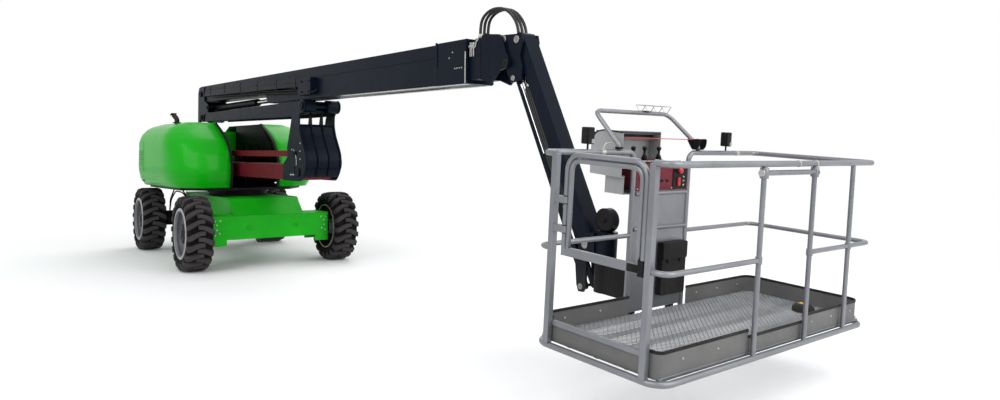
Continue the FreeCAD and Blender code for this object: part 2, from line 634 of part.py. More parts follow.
def pedestal():
    """Two side plates on the deck that hold the rear pins of the lower arm and its tie."""
    x, z = "lower_pin_x", "lower_pin_z"
    sides = both_sides(plate("y", [
        (f"{x} - 420", DECK_TOP), (f"{x} + 260", DECK_TOP), (f"{x} + 150", f"{z} - 40"),
        (f"{x} + 110", f"{z} + 90"), (f"{x} - tie_back + 70", f"{z} + tie_rise + 50"),
        (f"{x} - tie_back - 60", f"{z} + tie_rise + 60"), (f"{x} - 260", f"{z} + 120"),
    ], ("side_half", "side_half + side_plate")))
    back = block((f"{x} - 400", f"{x} - 380"), ("-side_half", "side_half"), (DECK_TOP, f"{z} - 60"))
    half = "side_half + side_plate + 12"
    return join(*sides, back, pin(x, z, half, "lower_pin"),
                pin(f"{x} - tie_back", f"{z} + tie_rise", half, "tie_pin"))


def tunnel_walls():
    """Bulkheads between the booms' tunnel and the space under each hood."""
    return group(*both_sides(plate("y", [
        ("-tunnel_rear", DECK_TOP), ("tunnel_front", DECK_TOP), ("tunnel_front", "lower_pin_z + 130"),
        ("tunnel_front - 150", "hood_top - 300"), ("tunnel_front - 560", "hood_top - tunnel_drop"),
        ("-tunnel_rear", "hood_top - tunnel_drop"),
    ], ("tunnel_half", "tunnel_half + tunnel_wall"))))


def counterweight():
    """Cast block across the rear of the deck, with a tall middle between the hoods."""
    wide = plate("z", [
        ("-weight_rear", "-weight_half + 200"), ("-weight_rear + 150", "-weight_half"),
        ("-weight_front", "-weight_half"), ("-weight_front", "weight_half"),
        ("-weight_rear + 150", "weight_half"), ("-weight_rear", "weight_half - 200"),
    ], (DECK_TOP, "hood_top - weight_drop"))
    post = block(("-weight_rear", "-tunnel_rear - 5"), ("-tunnel_half + 5", "tunnel_half - 5"),
                 (DECK_TOP, "hood_top - weight_post_drop"))
    return join(wide, post)


def hood_solid(inset):
    """One hood as a solid, drawn inset into itself: plan, side and section outlines met."""
    plan = plate("z", [
        (f"-hood_rear + {inset}", f"(tunnel_half + tunnel_wall + hood_gap) - 2 * {inset}"),
        (f"hood_nose - {inset}", f"(tunnel_half + tunnel_wall + hood_gap) - 2 * {inset}"),
        (f"hood_nose - {inset}", f"(tunnel_half + tunnel_wall + hood_gap) + 200 - {inset} / 2"),
        (f"hood_nose - 150 - {inset}", f"hood_half - 320 - {inset} / 2"),
        (f"hood_nose - 420 - {inset} / 2", f"hood_half - 90 - {inset}"),
        (f"hood_nose - 700", f"hood_half - {inset}"),
        (f"-hood_rear + 480", f"hood_half - {inset}"),
        (f"-hood_rear + 170 + {inset} / 2", f"hood_half - 90 - {inset}"),
        (f"-hood_rear + {inset}", f"hood_half - 330 - {inset} / 2"),
    ], ("hood_floor - 300", "hood_top + 300"))
    side = plate("y", [
        (f"-hood_rear + {inset}", f"hood_floor - 3 * {inset}"),
        (f"hood_nose - 50 - {inset}", f"hood_floor - 3 * {inset}"),
        (f"hood_nose - {inset}", "hood_floor + 255"),
        (f"hood_nose - 70 - {inset}", f"hood_top - 460 - {inset} / 2"),
        (f"hood_nose - 230 - {inset} / 2", f"hood_top - 270 - {inset} / 2"),
        (f"hood_nose - 480 - {inset} / 2", f"hood_top - 120 - {inset}"),
        (f"hood_nose - 720", f"hood_top - {inset}"),
        (f"-hood_rear + 300", f"hood_top - {inset}"),
        (f"-hood_rear + 90 + {inset} / 2", f"hood_top - 80 - {inset}"),
        (f"-hood_rear + {inset}", f"hood_top - 260 - {inset} / 2"),
    ], ("(tunnel_half + tunnel_wall + hood_gap) - 100", "hood_half + 100"))
    section = plate("x", [
        (f"(tunnel_half + tunnel_wall + hood_gap) - 2 * {inset}", f"hood_floor - 3 * {inset}"),
        (f"hood_half - 80 - {inset}", f"hood_floor - 3 * {inset}"),
        (f"hood_half - {inset}", "hood_floor + 240"),
        (f"hood_half - {inset}", "hood_top - 300"),
        (f"hood_half - 60 - {inset} / 2", f"hood_top - 120 - {inset} / 2"),
        (f"hood_half - 210 - {inset} / 2", f"hood_top - 20 - {inset}"),
        (f"hood_half - 330", f"hood_top - {inset}"),
        (f"(tunnel_half + tunnel_wall + hood_gap) - 2 * {inset}", f"hood_top - {inset}"),
    ], ("-hood_rear - 100", "hood_nose + 100"))
    return common(plan, side, section)


def hood():
    """Left hood: a shell open below and on its inner side."""
    return minus(hood_solid("0"), hood_solid("hood_wall"))


node("turntable_deck", turntable_deck())
node("boom_pedestal", pedestal())
node("tunnel_walls", tunnel_walls())
node("counterweight", counterweight())
node("engine_block", block(("engine_rear", "engine_front"), ("-engine_outer", "-engine_inner"),
                           (DECK_TOP, "hood_top - engine_drop")))
node("hood_left", hood())
node("hood_right", mirrored(hood()))
node("exhaust_outlet", rod("z", ("stack_x", "-stack_y"), ("hood_top", "hood_top + stack_height"), "stack_radius"))


# ---------------------------------------------------------------- lower and upper arms
LINK_X = "lower_pin_x + lower_reach"


def lower_arm():
    """Box arm with a round boss at each end, bored for its pins."""
    half = "lower_half"
    z = ("lower_pin_z - lower_depth / 2", "lower_pin_z + lower_depth / 2")
    outer = block(("lower_pin_x", LINK_X), (f"-{half}", half), z)
    inner = block((f"lower_pin_x + lower_depth / 2", f"{LINK_X} - lower_depth / 2"),
                  (f"-{half} + lower_wall", f"{half} - lower_wall"),
                  (f"{z[0]} + lower_wall", f"{z[1]} - lower_wall"))
    bosses = [pin(x, "lower_pin_z", half, "lower_depth / 2") for x in ("lower_pin_x", LINK_X)]
    holes = [bore(x, "lower_pin_z", half, "lower_pin") for x in ("lower_pin_x", LINK_X)]
    return minus(join(minus(outer, inner), *bosses), *holes)


def lower_tie():
    """Two flat bars beside each other above the lower arm, with an eye at each end."""
    z = "lower_pin_z + tie_rise"
    ends = ("lower_pin_x - tie_back", f"{LINK_X} - tie_back")
    span = ("tie_inner", "tie_outer")
    bar = block(ends, span, (f"{z} - tie_depth / 2", f"{z} + tie_depth / 2"))
    eyes = [rod("y", (x, z), span, "tie_depth / 2 + 8") for x in ends]
    holes = [rod("y", (x, z), ("tie_inner - 5", "tie_outer + 5"), "tie_pin + pin_clearance") for x in ends]
    return group(*both_sides(minus(join(bar, *eyes), *holes)))


def knuckle():
    """Upright link: side plates, two webs and a front plate between the lower and upper arms."""
    low_x, low_z = LINK_X, "lower_pin_z"
    top_x, top_z = "upper_pin_x", "upper_pin_z"
    rear = [
        (f"{top_x} - 60", f"{top_z} + 60"), (f"{top_x} - 290", f"{top_z} - 110"),
        (f"{top_x} - 350", f"{top_z} - 320"), (f"{top_x} - 430", f"{top_z} - 520"),
        (f"{top_x} - 400", f"{top_z} - 640"), (f"{top_x} - 540", f"{top_z} - 730"),
        (f"{top_x} - 550", f"{low_z} - 110"),
    ]
    front = [
        (f"{top_x} - 10", f"{low_z} - 110"), (f"{top_x} + 80", f"{low_z} + 30"),
        (f"{top_x} + 170", f"{low_z} + 150"), (f"{top_x} + 70", f"{low_z} + 270"),
        (f"{top_x} - 35", f"{low_z} + 450"), (f"{top_x} - 85", f"{top_z} - 230"),
        (f"{top_x} - 70", f"{top_z} - 100"), (f"{top_x} + 30", f"{top_z} - 60"),
    ]
    span = ("side_half", "side_half + side_plate")
    sides = both_sides(join(plate("y", rear + front, span), rod("y", (top_x, top_z), span, "upper_boss + 2")))
    wrap_out = front[:7]
    wrap_in = [(f"{x} - link_wrap", z) for x, z in reversed(wrap_out)]
    wrap = plate("y", wrap_out + wrap_in, ("-side_half", "side_half"))
    web_span = ("web_inner", "web_inner + web_thick")
    web = plate("y", [
        (f"{top_x} - 60", f"{low_z} - 60"), front[0], front[1], front[2], front[3], front[4], front[5],
        (f"{top_x} - 70", f"{top_z} - 100"), (f"{top_x} + 60", f"{top_z} - 30"),
        (f"{top_x} + 40", f"{top_z} + 45"), (f"{top_x} - 40", f"{top_z} + 45"),
        (f"{top_x} - 95", f"{top_z} - 50"), (f"{top_x} - 95", f"{top_z} - 110"),
        (f"{top_x} - 150", f"{top_z} - 240"), (f"{top_x} - 60", f"{low_z} + 420"),
    ], web_span)
    half = "side_half + side_plate + 8"
    pins = [
        pin(low_x, low_z, half, "lower_pin"), pin(f"{low_x} - tie_back", f"{low_z} + tie_rise", half, "tie_pin"),
        pin(top_x, top_z, half, "upper_pin"),
        pin(f"{top_x} - rod_back", f"{top_z} - rod_drop", "web_inner + web_thick", "rod_pin"),
    ]
    return join(*sides, wrap, *both_sides(web), *pins)


def upper_arm():
    """Channel open below, with thick bosses at its front pin and two cheeks at its rear pin."""
    x, z = "upper_pin_x", "upper_pin_z"
    rear_x = "upper_pin_x - upper_reach"
    top = [(f"{rear_x} + 280", f"{z} + 58"), (f"{x} - 150", f"{z} + 74"), (f"{x} - 20", f"{z} + 60")]
    low = [(f"{x} - 20", f"{z} - 60"), (f"{x} - 150", f"{z} - 118"), (f"{x} - 700", f"{z} - 118"),
           (f"{rear_x} + 900", f"{z} - 85"), (f"{rear_x} + 220", f"{z} - 78")]
    outer = plate("y", top + low, ("-upper_half", "upper_half"))
    inner = plate("y", [
        (f"{rear_x} + 150", f"{z} + 58 - upper_wall"), (f"{x} - 130", f"{z} + 74 - upper_wall"),
        (f"{x} + 20", f"{z} + 60 - upper_wall"), (f"{x} + 20", f"{z} - 200"), (f"{rear_x} + 150", f"{z} - 200"),
    ], ("-upper_half + upper_wall", "upper_half - upper_wall"))
    notch = block((f"{x} - 140", f"{x} + 5"), ("-web_inner - web_thick - 2", "web_inner + web_thick + 2"),
                  (f"{z} - 10", f"{z} + 90"))
    front = both_sides(rod("y", (x, z), ("web_inner + web_thick + 2", "side_half - 5"), "upper_boss"))
    neck = both_sides(block((rear_x, f"{rear_x} + 400"), ("cheek_inner", "cheek_outer"),
                            (f"{z} - 50", f"{z} + 54")))
    rear = both_sides(rod("y", (rear_x, z), ("cheek_inner", "cheek_outer"), "upper_rear_boss"))
    brace = both_sides(block((f"{rear_x} + 330", f"{rear_x} + 350"), ("cheek_inner", "upper_half - 2"),
                             (f"{z} - 50", f"{z} + 54")))
    body = join(minus(outer, inner, notch), *front, *neck, *rear, *brace)
    return minus(body, bore(x, z, "side_half", "upper_pin"), bore(rear_x, z, "side_half", "upper_pin"))


def upper_tie():
    """Square bar inside the channel of the upper arm, with a cross eye at each end."""
    x, z = "upper_pin_x - rod_back", "upper_pin_z - rod_drop"
    ends = (f"{x} - upper_reach", x)
    bar = block(ends, ("-rod_half", "rod_half"), (f"{z} - rod_half", f"{z} + rod_half"))
    eyes = [pin(ends[1], z, "web_inner - 2", "rod_eye"), pin(ends[0], z, "cheek_inner - 12", "rod_eye")]
    holes = [bore(end, z, "web_inner", "rod_pin") for end in ends]
    return minus(join(bar, *eyes), *holes)


def upright():
    """Two plates and a rear plate that carry the boom's pivot and the foot of its cylinder."""
    x, z = "boom_pin_x", "boom_pin_z"
    low_x, low_z = "upper_pin_x - upper_reach", "upper_pin_z"
    outline = [
        (f"{x} - 150", f"{low_z} - 80"), (f"{x} + 110", f"{low_z} - 80"), (f"{x} + 150", f"{low_z} + 30"),
        ("lift_base_x + 40", f"{low_z} + 90"), ("lift_base_x + 70", "lift_base_z"),
        ("lift_base_x + 20", "lift_base_z + 60"), (f"{x} + 170", f"{z} - 130"), (f"{x} + 140", f"{z} + 90"),
        (f"{x} + 60", f"{z} + 125"), (f"{x} - 100", f"{z} + 110"), (f"{x} - 150", f"{z} + 20"),
    ]
    sides = both_sides(plate("y", outline, ("upright_inner", "upright_outer")))
    back = block((f"{x} - 150", f"{x} - 138"), ("-upright_inner", "upright_inner"), (f"{low_z} + 90", f"{z} + 20"))
    half = "upright_outer + 10"
    stub = rod("x", ("0", f"{z} + 5"), (f"{x} - 195", f"{x} - 145"), "24")
    return join(*sides, back, stub, pin(x, z, half, "boom_pin"), pin(low_x, low_z, half, "upper_pin"),
                pin(f"{low_x} - rod_back", f"{low_z} - rod_drop", "upright_outer", "rod_pin"),
                pin("lift_base_x", "lift_base_z", "upright_outer", "lift_pin"))


node("lower_arm", lower_arm())
node("lower_tie", lower_tie())
node("knuckle_link", knuckle())
node("upper_arm", upper_arm())
node("upper_tie", upper_tie())
node("upright", upright())


# ---------------------------------------------------------------- boom
DROOP = "boom_droop"
EYE_IN_BOOM = (
    f"(lift_eye_x - boom_pin_x) * cos({DROOP}) - (lift_eye_z - boom_pin_z) * sin({DROOP})",
    f"(lift_eye_x - boom_pin_x) * sin({DROOP}) + (lift_eye_z - boom_pin_z) * cos({DROOP})",
)
HEAD_IN_BOOM = (
    f"(level_pin_x - boom_pin_x) * cos({DROOP}) - (level_pin_z - boom_pin_z) * sin({DROOP})",
    f"(level_pin_x - boom_pin_x) * sin({DROOP}) + (level_pin_z - boom_pin_z) * cos({DROOP})",
)


def boom_outer():
    """Box section, shallower at the rear over its cylinder, with a sleeve and wear pads in front."""
    wall = "boom_wall"
    end, step = "boom_length", "boom_relief_end"
    outer = plate("y", [
        ("0", "-boom_relief"), (step, "-boom_relief"), (f"{step} + 110", "-boom_below"),
        (end, "-boom_below"), (end, "boom_above"), ("0", "boom_above"),
    ], ("-boom_half", "boom_half"))
    inner = plate("y", [
        ("boom_boss + 20", f"-boom_relief + {wall}"), (f"{step} + {wall} / 2", f"-boom_relief + {wall}"),
        (f"{step} + 110 + {wall} / 2", f"-boom_below + {wall}"),
        (f"{end} + 5", f"-boom_below + {wall}"), (f"{end} + 5", f"boom_above - {wall}"),
        ("boom_boss + 20", f"boom_above - {wall}"),
    ], (f"-boom_half + {wall}", f"boom_half - {wall}"))
    boss = pin("0", "0", "boom_half", "boom_boss")
    lug_x, lug_z = EYE_IN_BOOM
    lugs = both_sides(join(
        block((f"{lug_x} - 55", f"{lug_x} + 55"), ("34", "54"), (lug_z, "-boom_relief + 2")),
        rod("y", (lug_x, lug_z), ("34", "54"), "lift_eye"),
    ))
    collar = minus(
        block((f"{end} - collar_length", f"{end} + 20"), ("-boom_half - collar_wall", "boom_half + collar_wall"),
              ("-boom_below - collar_wall", "boom_above + collar_wall")),
        block((f"{end} - collar_length - 5", f"{end} + 25"), ("-boom_half + 1", "boom_half - 1"),
              ("-boom_below + 1", "boom_above - 1")),
    )
    pad = block((f"{end} - pad_length", f"{end} + 20"), ("-boom_half + 2", "boom_half - 2"),
                ("-boom_below + 2", "boom_above - 2"))
    gap = "(inner_gap - pad_clearance)"
    opening = block((f"{end} - pad_length - 5", f"{end} + 25"), (f"-boom_half + {gap}", f"boom_half - {gap}"),
                    (f"-boom_below + {gap}", f"boom_above - {gap}"))
    heads = both_sides(rod("y", (lug_x, lug_z), ("50", "62"), "lift_pin"))
    body = join(minus(outer, inner), boss, collar, minus(pad, opening), *lugs, *heads)
    return minus(body, bore("0", "0", "boom_half", "boom_pin"))


HOSE_ROUTE = [
    (7388.6, "boom_above - inner_gap + 26"), (7388.6, 269.3), (7427.4, 349.6), (7522, 402.4), (7636.9, 413.3),
    (7747.2, 382.2), (7832.7, 312.9), (7880.4, 233.3), (7891.3, 168.4), (7891.3, 118.8),
]
HOSES_Y = ("-45", "0", "45")


def boom_inner():
    """Sliding section with the two plates of the boom's head at its front end."""
    half = "(boom_half - inner_gap)"
    low, high = "(-boom_below + inner_gap)", "(boom_above - inner_gap)"
    rear, front = "inner_rear", "inner_front"
    outer = block((rear, front), (f"-{half}", half), (low, high))
    inner = block((f"{rear} - 5", f"{front} - 14"), (f"-{half} + inner_wall", f"{half} - inner_wall"),
                  (f"{low} + inner_wall", f"{high} - inner_wall"))
    x, z = HEAD_IN_BOOM
    span = ("head_inner", "head_inner + head_plate")
    head = plate("y", [
        (f"{front} - 5", low), (f"{x} - 225", f"{z} - 168"), (f"{x} - 165", f"{z} - 120"),
        (f"{x} - 100", f"{z} - 58"), (f"{x} + 20", f"{z} - 36"), (f"{x} + 38", f"{z} + 10"),
        (f"{x} - 15", f"{z} + 100"), (f"{x} - 55", f"{z} + 210"), (f"{x} - 110", f"{z} + 262"),
        (f"{x} - 300", f"{z} + 285"), (f"{front} - 5", high),
    ], span)
    tip = rod("y", (x, z), span, "40")
    clamp = minus(block((f"{front} - 155", f"{front} - 75"), ("-70", "70"), (f"{high} - 2", f"{high} + 36")),
                  *(rod("z", (HOSE_ROUTE[0][0], y), (f"{high} + 20", f"{high} + 40"), "hose + pin_clearance")
                    for y in HOSES_Y))
    axle = pin(x, z, "head_inner + head_plate + 6", "level_pin")
    return join(minus(outer, inner), clamp, axle, *both_sides(join(head, tip)))


def lift_cylinder():
    """Barrel and rod of the boom's lift cylinder, along X of their own frame."""
    length = "sqrt((lift_eye_x - lift_base_x)^2 + (lift_eye_z - lift_base_z)^2)"
    barrel = rod("x", ("0", "0"), ("40", "lift_gland"), "lift_barrel")
    foot = pin("0", "0", "upright_inner - 4", "lift_eye")
    neck = block(("0", "60"), ("-lift_eye", "lift_eye"), ("-lift_eye", "lift_eye"))
    room = rod("x", ("0", "0"), ("120", "lift_gland + 5"), "lift_rod + pin_clearance")
    outer = minus(join(barrel, foot, neck), room, bore("0", "0", "upright_inner", "lift_pin"))
    bar = rod("x", ("0", "0"), ("lift_gland - 900", f"{length} - 20"), "lift_rod")
    eye = pin(length, "0", "33", "lift_eye")
    return outer, join(bar, eye)


def hose_tray():
    """Tapering hose tray along the right side of the outer boom, with its end bracket."""
    return plate("y", [
        ("350", "-57"), ("3900", "-108"), ("3900", "-218"), ("4250", "-218"), ("4250", "-8"),
        ("3940", "-8"), ("420", "103"),
    ], ("-tray_outer", "-tray_inner"))


def head_hoses():
    """Three hoses that stand on the boom's front end and arch over to the top of the jib bracket."""
    hoses = []
    for y in HOSES_Y:
        hoses.append(tube([(str(x), y, str(z)) for x, z in HOSE_ROUTE], "hose", "45", name="Hose"))
    return group(*hoses)


lift_barrel, lift_bar = lift_cylinder()
node("boom_outer", boom_outer(), "boom")
node("boom_inner", boom_inner(), "boom")
node("hose_tray", hose_tray(), "boom")
node("lift_barrel", lift_barrel, "lift")
node("lift_rod", lift_bar, "lift")


# ---------------------------------------------------------------- jib
TIE_X, TIE_Z = "(jib_pin_x - jib_tie_back)", "(jib_pin_z - jib_tie_drop)"
BASE_IN_JIB = (
    "((jib_cyl_x - jib_pin_x) * cos(jib_angle) - (jib_cyl_z - jib_pin_z) * sin(jib_angle))",
    "((jib_cyl_x - jib_pin_x) * sin(jib_angle) + (jib_cyl_z - jib_pin_z) * cos(jib_angle))",
)


def jib_bracket():
    """Two plates that hang from the boom's head and carry the jib, its tie and its cylinder."""
    x, z = "jib_pin_x", "jib_pin_z"
    outline = [
        (f"{x} - 215", f"{z} + 62"), (f"{x} + 60", f"{z} + 45"), (f"{x} + 75", f"{z} - 20"),
        (f"{x} + 40", f"{z} - 145"), (f"{x} + 70", f"{z} - 240"), (f"{x} + 60", f"{z} - 350"),
        (f"{x} - 75", f"{z} - 370"), (f"{x} - 135", f"{z} - 265"), (f"{x} - 165", f"{z} - 190"),
        (f"{x} - 225", f"{z} - 20"),
    ]
    sides = both_sides(plate("y", outline, ("bracket_inner", "bracket_outer")))
    cover = block((f"{x} - 210", f"{x} - 85"), ("-bracket_inner", "bracket_inner"), (f"{z} + 40", f"{z} + 50"))
    half = "bracket_outer"
    lugs = both_sides(plate("y", [
        (f"{TIE_X} - 70", f"{TIE_Z} - 24"), (f"{TIE_X} + 60", f"{TIE_Z} - 20"), ("jib_eye_x + 24", "jib_eye_z - 8"),
        ("jib_eye_x + 16", "jib_eye_z + 22"), (f"{TIE_X} - 70", f"{TIE_Z} + 30"),
    ], ("21", "35")))
    bridge = block((f"{TIE_X} - 72", f"{TIE_X} - 42"), ("-bracket_inner", "bracket_inner"),
                   (f"{TIE_Z} - 24", f"{TIE_Z} + 30"))
    body = join(*sides, *lugs, cover, bridge, pin(x, z, half, "jib_pin"),
                pin(f"{x} - 175", f"{z} + 22", half, "jib_pin"), pin(TIE_X, TIE_Z, half, "jib_tie_pin"),
                *both_sides(rod("y", ("jib_eye_x", "jib_eye_z"), ("33", "38"), "jib_cyl_pin")))
    return minus(body, bore("level_pin_x", "level_pin_z", half, "level_pin"))


def jib_arm():
    """Box arm with a boss at each end and lugs for the foot of its cylinder, along X of its frame."""
    half = "jib_half"
    depth = "jib_depth / 2"
    outer = block(("0", "jib_length"), (f"-{half}", half), (f"-{depth}", depth))
    inner = block((depth, f"jib_length - {depth}"), (f"-{half} + jib_wall", f"{half} - jib_wall"),
                  (f"-{depth} + jib_wall", f"{depth} - jib_wall"))
    bosses = [pin(x, "0", half, depth) for x in ("0", "jib_length")]
    x, z = BASE_IN_JIB
    lug = join(block((f"{x} - 30", f"{x} + 30"), ("21", "34"), (z, f"-{depth} + 2")),
               rod("y", (x, z), ("21", "34"), "30"))
    body = join(minus(outer, inner), *bosses, *both_sides(lug), pin(x, z, "34", "jib_cyl_pin"))
    return minus(body, *(bore(x, "0", half, "jib_pin") for x in ("0", "jib_length")))


def jib_tie():
    """Two flat bars joined by a web along their lower part, along X of its frame."""
    half, depth = "jib_tie_half", "jib_tie_depth / 2"
    bar = join(
        block(("0", "jib_length"), (f"{half} - jib_tie_bar", half), (f"-{depth}", depth)),
        *(rod("y", (x, "0"), (f"{half} - jib_tie_bar", half), depth) for x in ("0", "jib_length")),
    )
    web = block(("jib_length - 380", "jib_length - 150"), (f"-{half} + 2", f"{half} - 2"),
                (f"-{depth}", f"-{depth} + 8"))
    return minus(join(*both_sides(bar), web), *(bore(x, "0", half, "jib_tie_pin") for x in ("0", "jib_length")))


def jib_cylinder():
    """Barrel and rod of the jib cylinder, along X of their own frame."""
    length = "sqrt((jib_eye_x - jib_cyl_x)^2 + (jib_eye_z - jib_cyl_z)^2)"
    foot = pin("0", "0", "20.7", "jib_eye")
    neck = block(("0", "50"), ("-20.7", "20.7"), ("-jib_eye + 2", "jib_eye - 2"))
    barrel = rod("x", ("0", "0"), ("44", "jib_gland"), "jib_barrel")
    room = rod("x", ("0", "0"), ("60", "jib_gland + 5"), "jib_rod + pin_clearance")
    outer = minus(join(foot, neck, barrel), room, bore("0", "0", "21", "jib_cyl_pin"))
    bar = rod("x", ("0", "0"), ("65", f"{length} - 15"), "jib_rod")
    eye = pin(length, "0", "20.7", "jib_eye - 2")
    return outer, join(bar, eye)


def jib_head():
    """Level link at the jib's lower end: two plates, the rotator's housing and a round guard on it."""
    tie_x, tie_z = f"({FOOT_X} - jib_tie_back)", f"({FOOT_Z} - jib_tie_drop)"
    outline = [
        (f"{FOOT_X} - 58", f"{FOOT_Z} + 40"), (f"{FOOT_X} - 20", f"{FOOT_Z} + 88"),
        (f"{FOOT_X} + 95", f"{FOOT_Z} + 100"), (f"{FOOT_X} + 95", f"{FOOT_Z} - 60"),
        (f"{FOOT_X} + 20", f"{FOOT_Z} - 90"), (f"{FOOT_X} + 12", f"{FOOT_Z} - 170"),
        (f"{tie_x} + 46", f"{tie_z} + 5"), (f"{tie_x} + 22", f"{tie_z} - 42"),
        (f"{tie_x} - 28", f"{tie_z} - 42"), (f"{tie_x} - 48", f"{tie_z} + 10"),
        (f"{FOOT_X} - 105", f"{FOOT_Z} - 150"),
    ]
    sides = both_sides(plate("y", outline, ("bracket_inner", "bracket_outer")))
    middle = block((f"{FOOT_X} + 74", f"{FOOT_X} + 120"), ("-bracket_inner - 2", "bracket_inner + 2"),
                   (f"{FOOT_Z} - 60", f"{FOOT_Z} + 95"))
    housing = minus(placed(rod("z", ("swing_x", "0"), ("swing_low", "swing_high"), "swing_radius"), "platform"),
                    rod("y", (FOOT_X, FOOT_Z), ("-bracket_inner", "bracket_inner"), "jib_depth / 2 + 5"))
    half = "bracket_outer"
    guard = rod("y", (f"{FOOT_X} + 138", f"{FOOT_Z} + 192"), ("-30", "30"), "92")
    return join(*sides, middle, housing, guard, pin(FOOT_X, FOOT_Z, half, "jib_pin"),
                pin(tie_x, tie_z, half, "jib_tie_pin"))


jib_barrel, jib_bar = jib_cylinder()
node("head_hoses", head_hoses(), "boom")
node("jib_bracket", jib_bracket())
node("jib_arm", jib_arm(), "jib")
node("jib_tie", jib_tie(), "jib_tie")
node("jib_barrel", jib_barrel, "jib_cylinder")
node("jib_rod", jib_bar, "jib_cylinder")
node("jib_head", jib_head())


# ---------------------------------------------------------------- platform, in its own frame
HALF_L, HALF_W = "basket_length / 2", "basket_width / 2"
GATE_POST = "(basket_width / 2 - basket_corner - post_half)"


def platform_support():
    """Flange under the rotator, the arm below it and the frame on the platform's machine side."""
    low = ("swing_low - pin_clearance - support_depth", "swing_low - pin_clearance")
    face = (f"-{HALF_W} - rail_tube - 46", f"-{HALF_W} - rail_tube - pin_clearance")
    pieces = [rod("z", ("swing_x", "0"), low, "swing_radius")]
    pieces.append(block(("swing_x", face[1]), ("-swing_radius + 14", "swing_radius - 14"), low))
    for y in ("-support_half", "support_half - 40"):
        pieces.append(block(face, (y, f"{y} + 40"), ("-rail_tube", "mid_rail")))
    for z in ("low_bar", "mid_rail - 40"):
        pieces.append(block(face, ("-support_half", "support_half"), (z, f"{z} + 40")))
    return join(*pieces)


def basket_floor():
    """Flat floor inside the lowest tube."""
    edge = "(post_half + pin_clearance)"
    return block((f"-{HALF_W} + {edge}", f"{HALF_W} - {edge}"), (f"-{HALF_L} + {edge}", f"{HALF_L} - {edge}"),
                 ("floor_z - floor_thick", "floor_z"))


def ring(z, radius):
    """A closed rounded loop of tube round the basket at a height."""
    corners = [(f"{a} * {HALF_W}", f"{b} * {HALF_L}", z) for a, b in ((1, -1), (1, 1), (-1, 1), (-1, -1))]
    return tube(corners, radius, "basket_corner", closed=True)


POSTS = [
    ("-basket_width / 2 + basket_corner", f"-{HALF_L}"), ("basket_width / 2 - basket_corner", f"-{HALF_L}"),
    (HALF_W, "entry_low"), (HALF_W, "entry_high"), (HALF_W, "last_post"),
]


def upright_bars(grow="0"):
    """The square posts, as separate bars, or a little thicker to cut a seat for what meets them."""
    return [
        block((f"{x} - post_half - {grow}", f"{x} + post_half + {grow}"),
              (f"{y} - post_half - {grow}", f"{y} + post_half + {grow}"), ("0", "rail_height"))
        for x, y in POSTS
    ]


def gate_bores(radius, spare):
    """Rods or bores round the gate's hinged tube, at the height of its two lugs."""
    return [rod("z", ("-gate_left", f"-{HALF_L}"), (f"{z} - {spare}", f"{z} + 40 + {spare}"), radius)
            for z in ("gate_low + 110", "rail_height - 290")]


def posts():
    """Square posts between the lowest tube and the top rail, with the lugs of the gate's hinge."""
    lugs = []
    for z in ("gate_low + 110", "rail_height - 290"):
        lugs.append(block((f"-{GATE_POST} - 5", "-gate_left + gate_tube + 8"),
                          (f"-{HALF_L} - gate_tube - 8", f"-{HALF_L} + gate_tube + 8"), (z, f"{z} + 40")))
    bars = upright_bars()
    bars[0] = join(bars[0], *lugs)
    seats = [ring("0", "rail_tube + pin_clearance"), *top_rail_tubes("rail_tube + pin_clearance"),
             *gate_bores("gate_tube + pin_clearance", "5")]
    return group(*(minus(bar, *seats) for bar in bars))


def top_rail_tubes(radius):
    """The two tubes of the top rail, each bent down to the floor beside the console."""
    rear, top, stand = f"-{HALF_W}", "rail_height", "rail_tube + pin_clearance"
    gate = f"({GATE_POST} + 20)"
    return [
        tube([(rear, "-console_left", stand), (rear, "-console_left", top), (rear, f"-{HALF_L}", top),
              (f"-{gate}", f"-{HALF_L}", top)], radius, "min(basket_corner; 60)"),
        tube([(rear, "console_right", stand), (rear, "console_right", top),
              (rear, HALF_L, top), (HALF_W, HALF_L, top),
              (HALF_W, f"-{HALF_L}", top), (gate, f"-{HALF_L}", top)], radius, "min(basket_corner; 60)"),
    ]


def mid_rails():
    """Three bent tubes half way up, cut short where they meet posts and the console's tubes."""
    z, rear = "mid_rail", f"-{HALF_W}"
    gate = f"({GATE_POST} + 20)"
    runs = [
        [(gate, f"-{HALF_L}", z), (HALF_W, f"-{HALF_L}", z), (HALF_W, "entry_low", z)],
        [(f"-{gate}", f"-{HALF_L}", z), (rear, f"-{HALF_L}", z), (rear, "-console_left", z)],
        [(HALF_W, "entry_high", z), (HALF_W, HALF_L, z), (rear, HALF_L, z), (rear, "console_right", z)],
    ]
    seats = [*upright_bars("pin_clearance"), *top_rail_tubes("rail_tube + pin_clearance")]
    return group(*(minus(tube(run, "rail_tube - 3", "60"), *seats) for run in runs))


def minus_all(pieces, tools):
    """Separate pieces in one node, each with the same tools cut from it."""
    return group(*(minus(piece, *tools) for piece in pieces))


def toe_boards():
    """Upright sheets round the floor, between the posts."""
    low, high = "floor_z + 0.3", "toe_top"
    inner_x = f"{HALF_W} - rail_tube - 6 - toe_thick"
    inner_y = f"{HALF_L} - rail_tube - 6 - toe_thick"
    pieces = []
    for side in ("", "-"):
        x = [f"{side}({inner_x})", f"{side}({inner_x} + toe_thick)"]
        x = x[::-1] if side else x
        pieces.append(block(x, ("-1040", "-330"), (low, high)))
        pieces.append(block(x, ("340", "1040"), (low, high)))
    pieces.append(block(("-340", "340"), (inner_y, f"{inner_y} + toe_thick"), (low, high)))
    pieces.append(block(("-340", "340"), (f"-({inner_y} + toe_thick)", f"-({inner_y})"), (low, "toe_top - 45")))
    return group(*pieces)


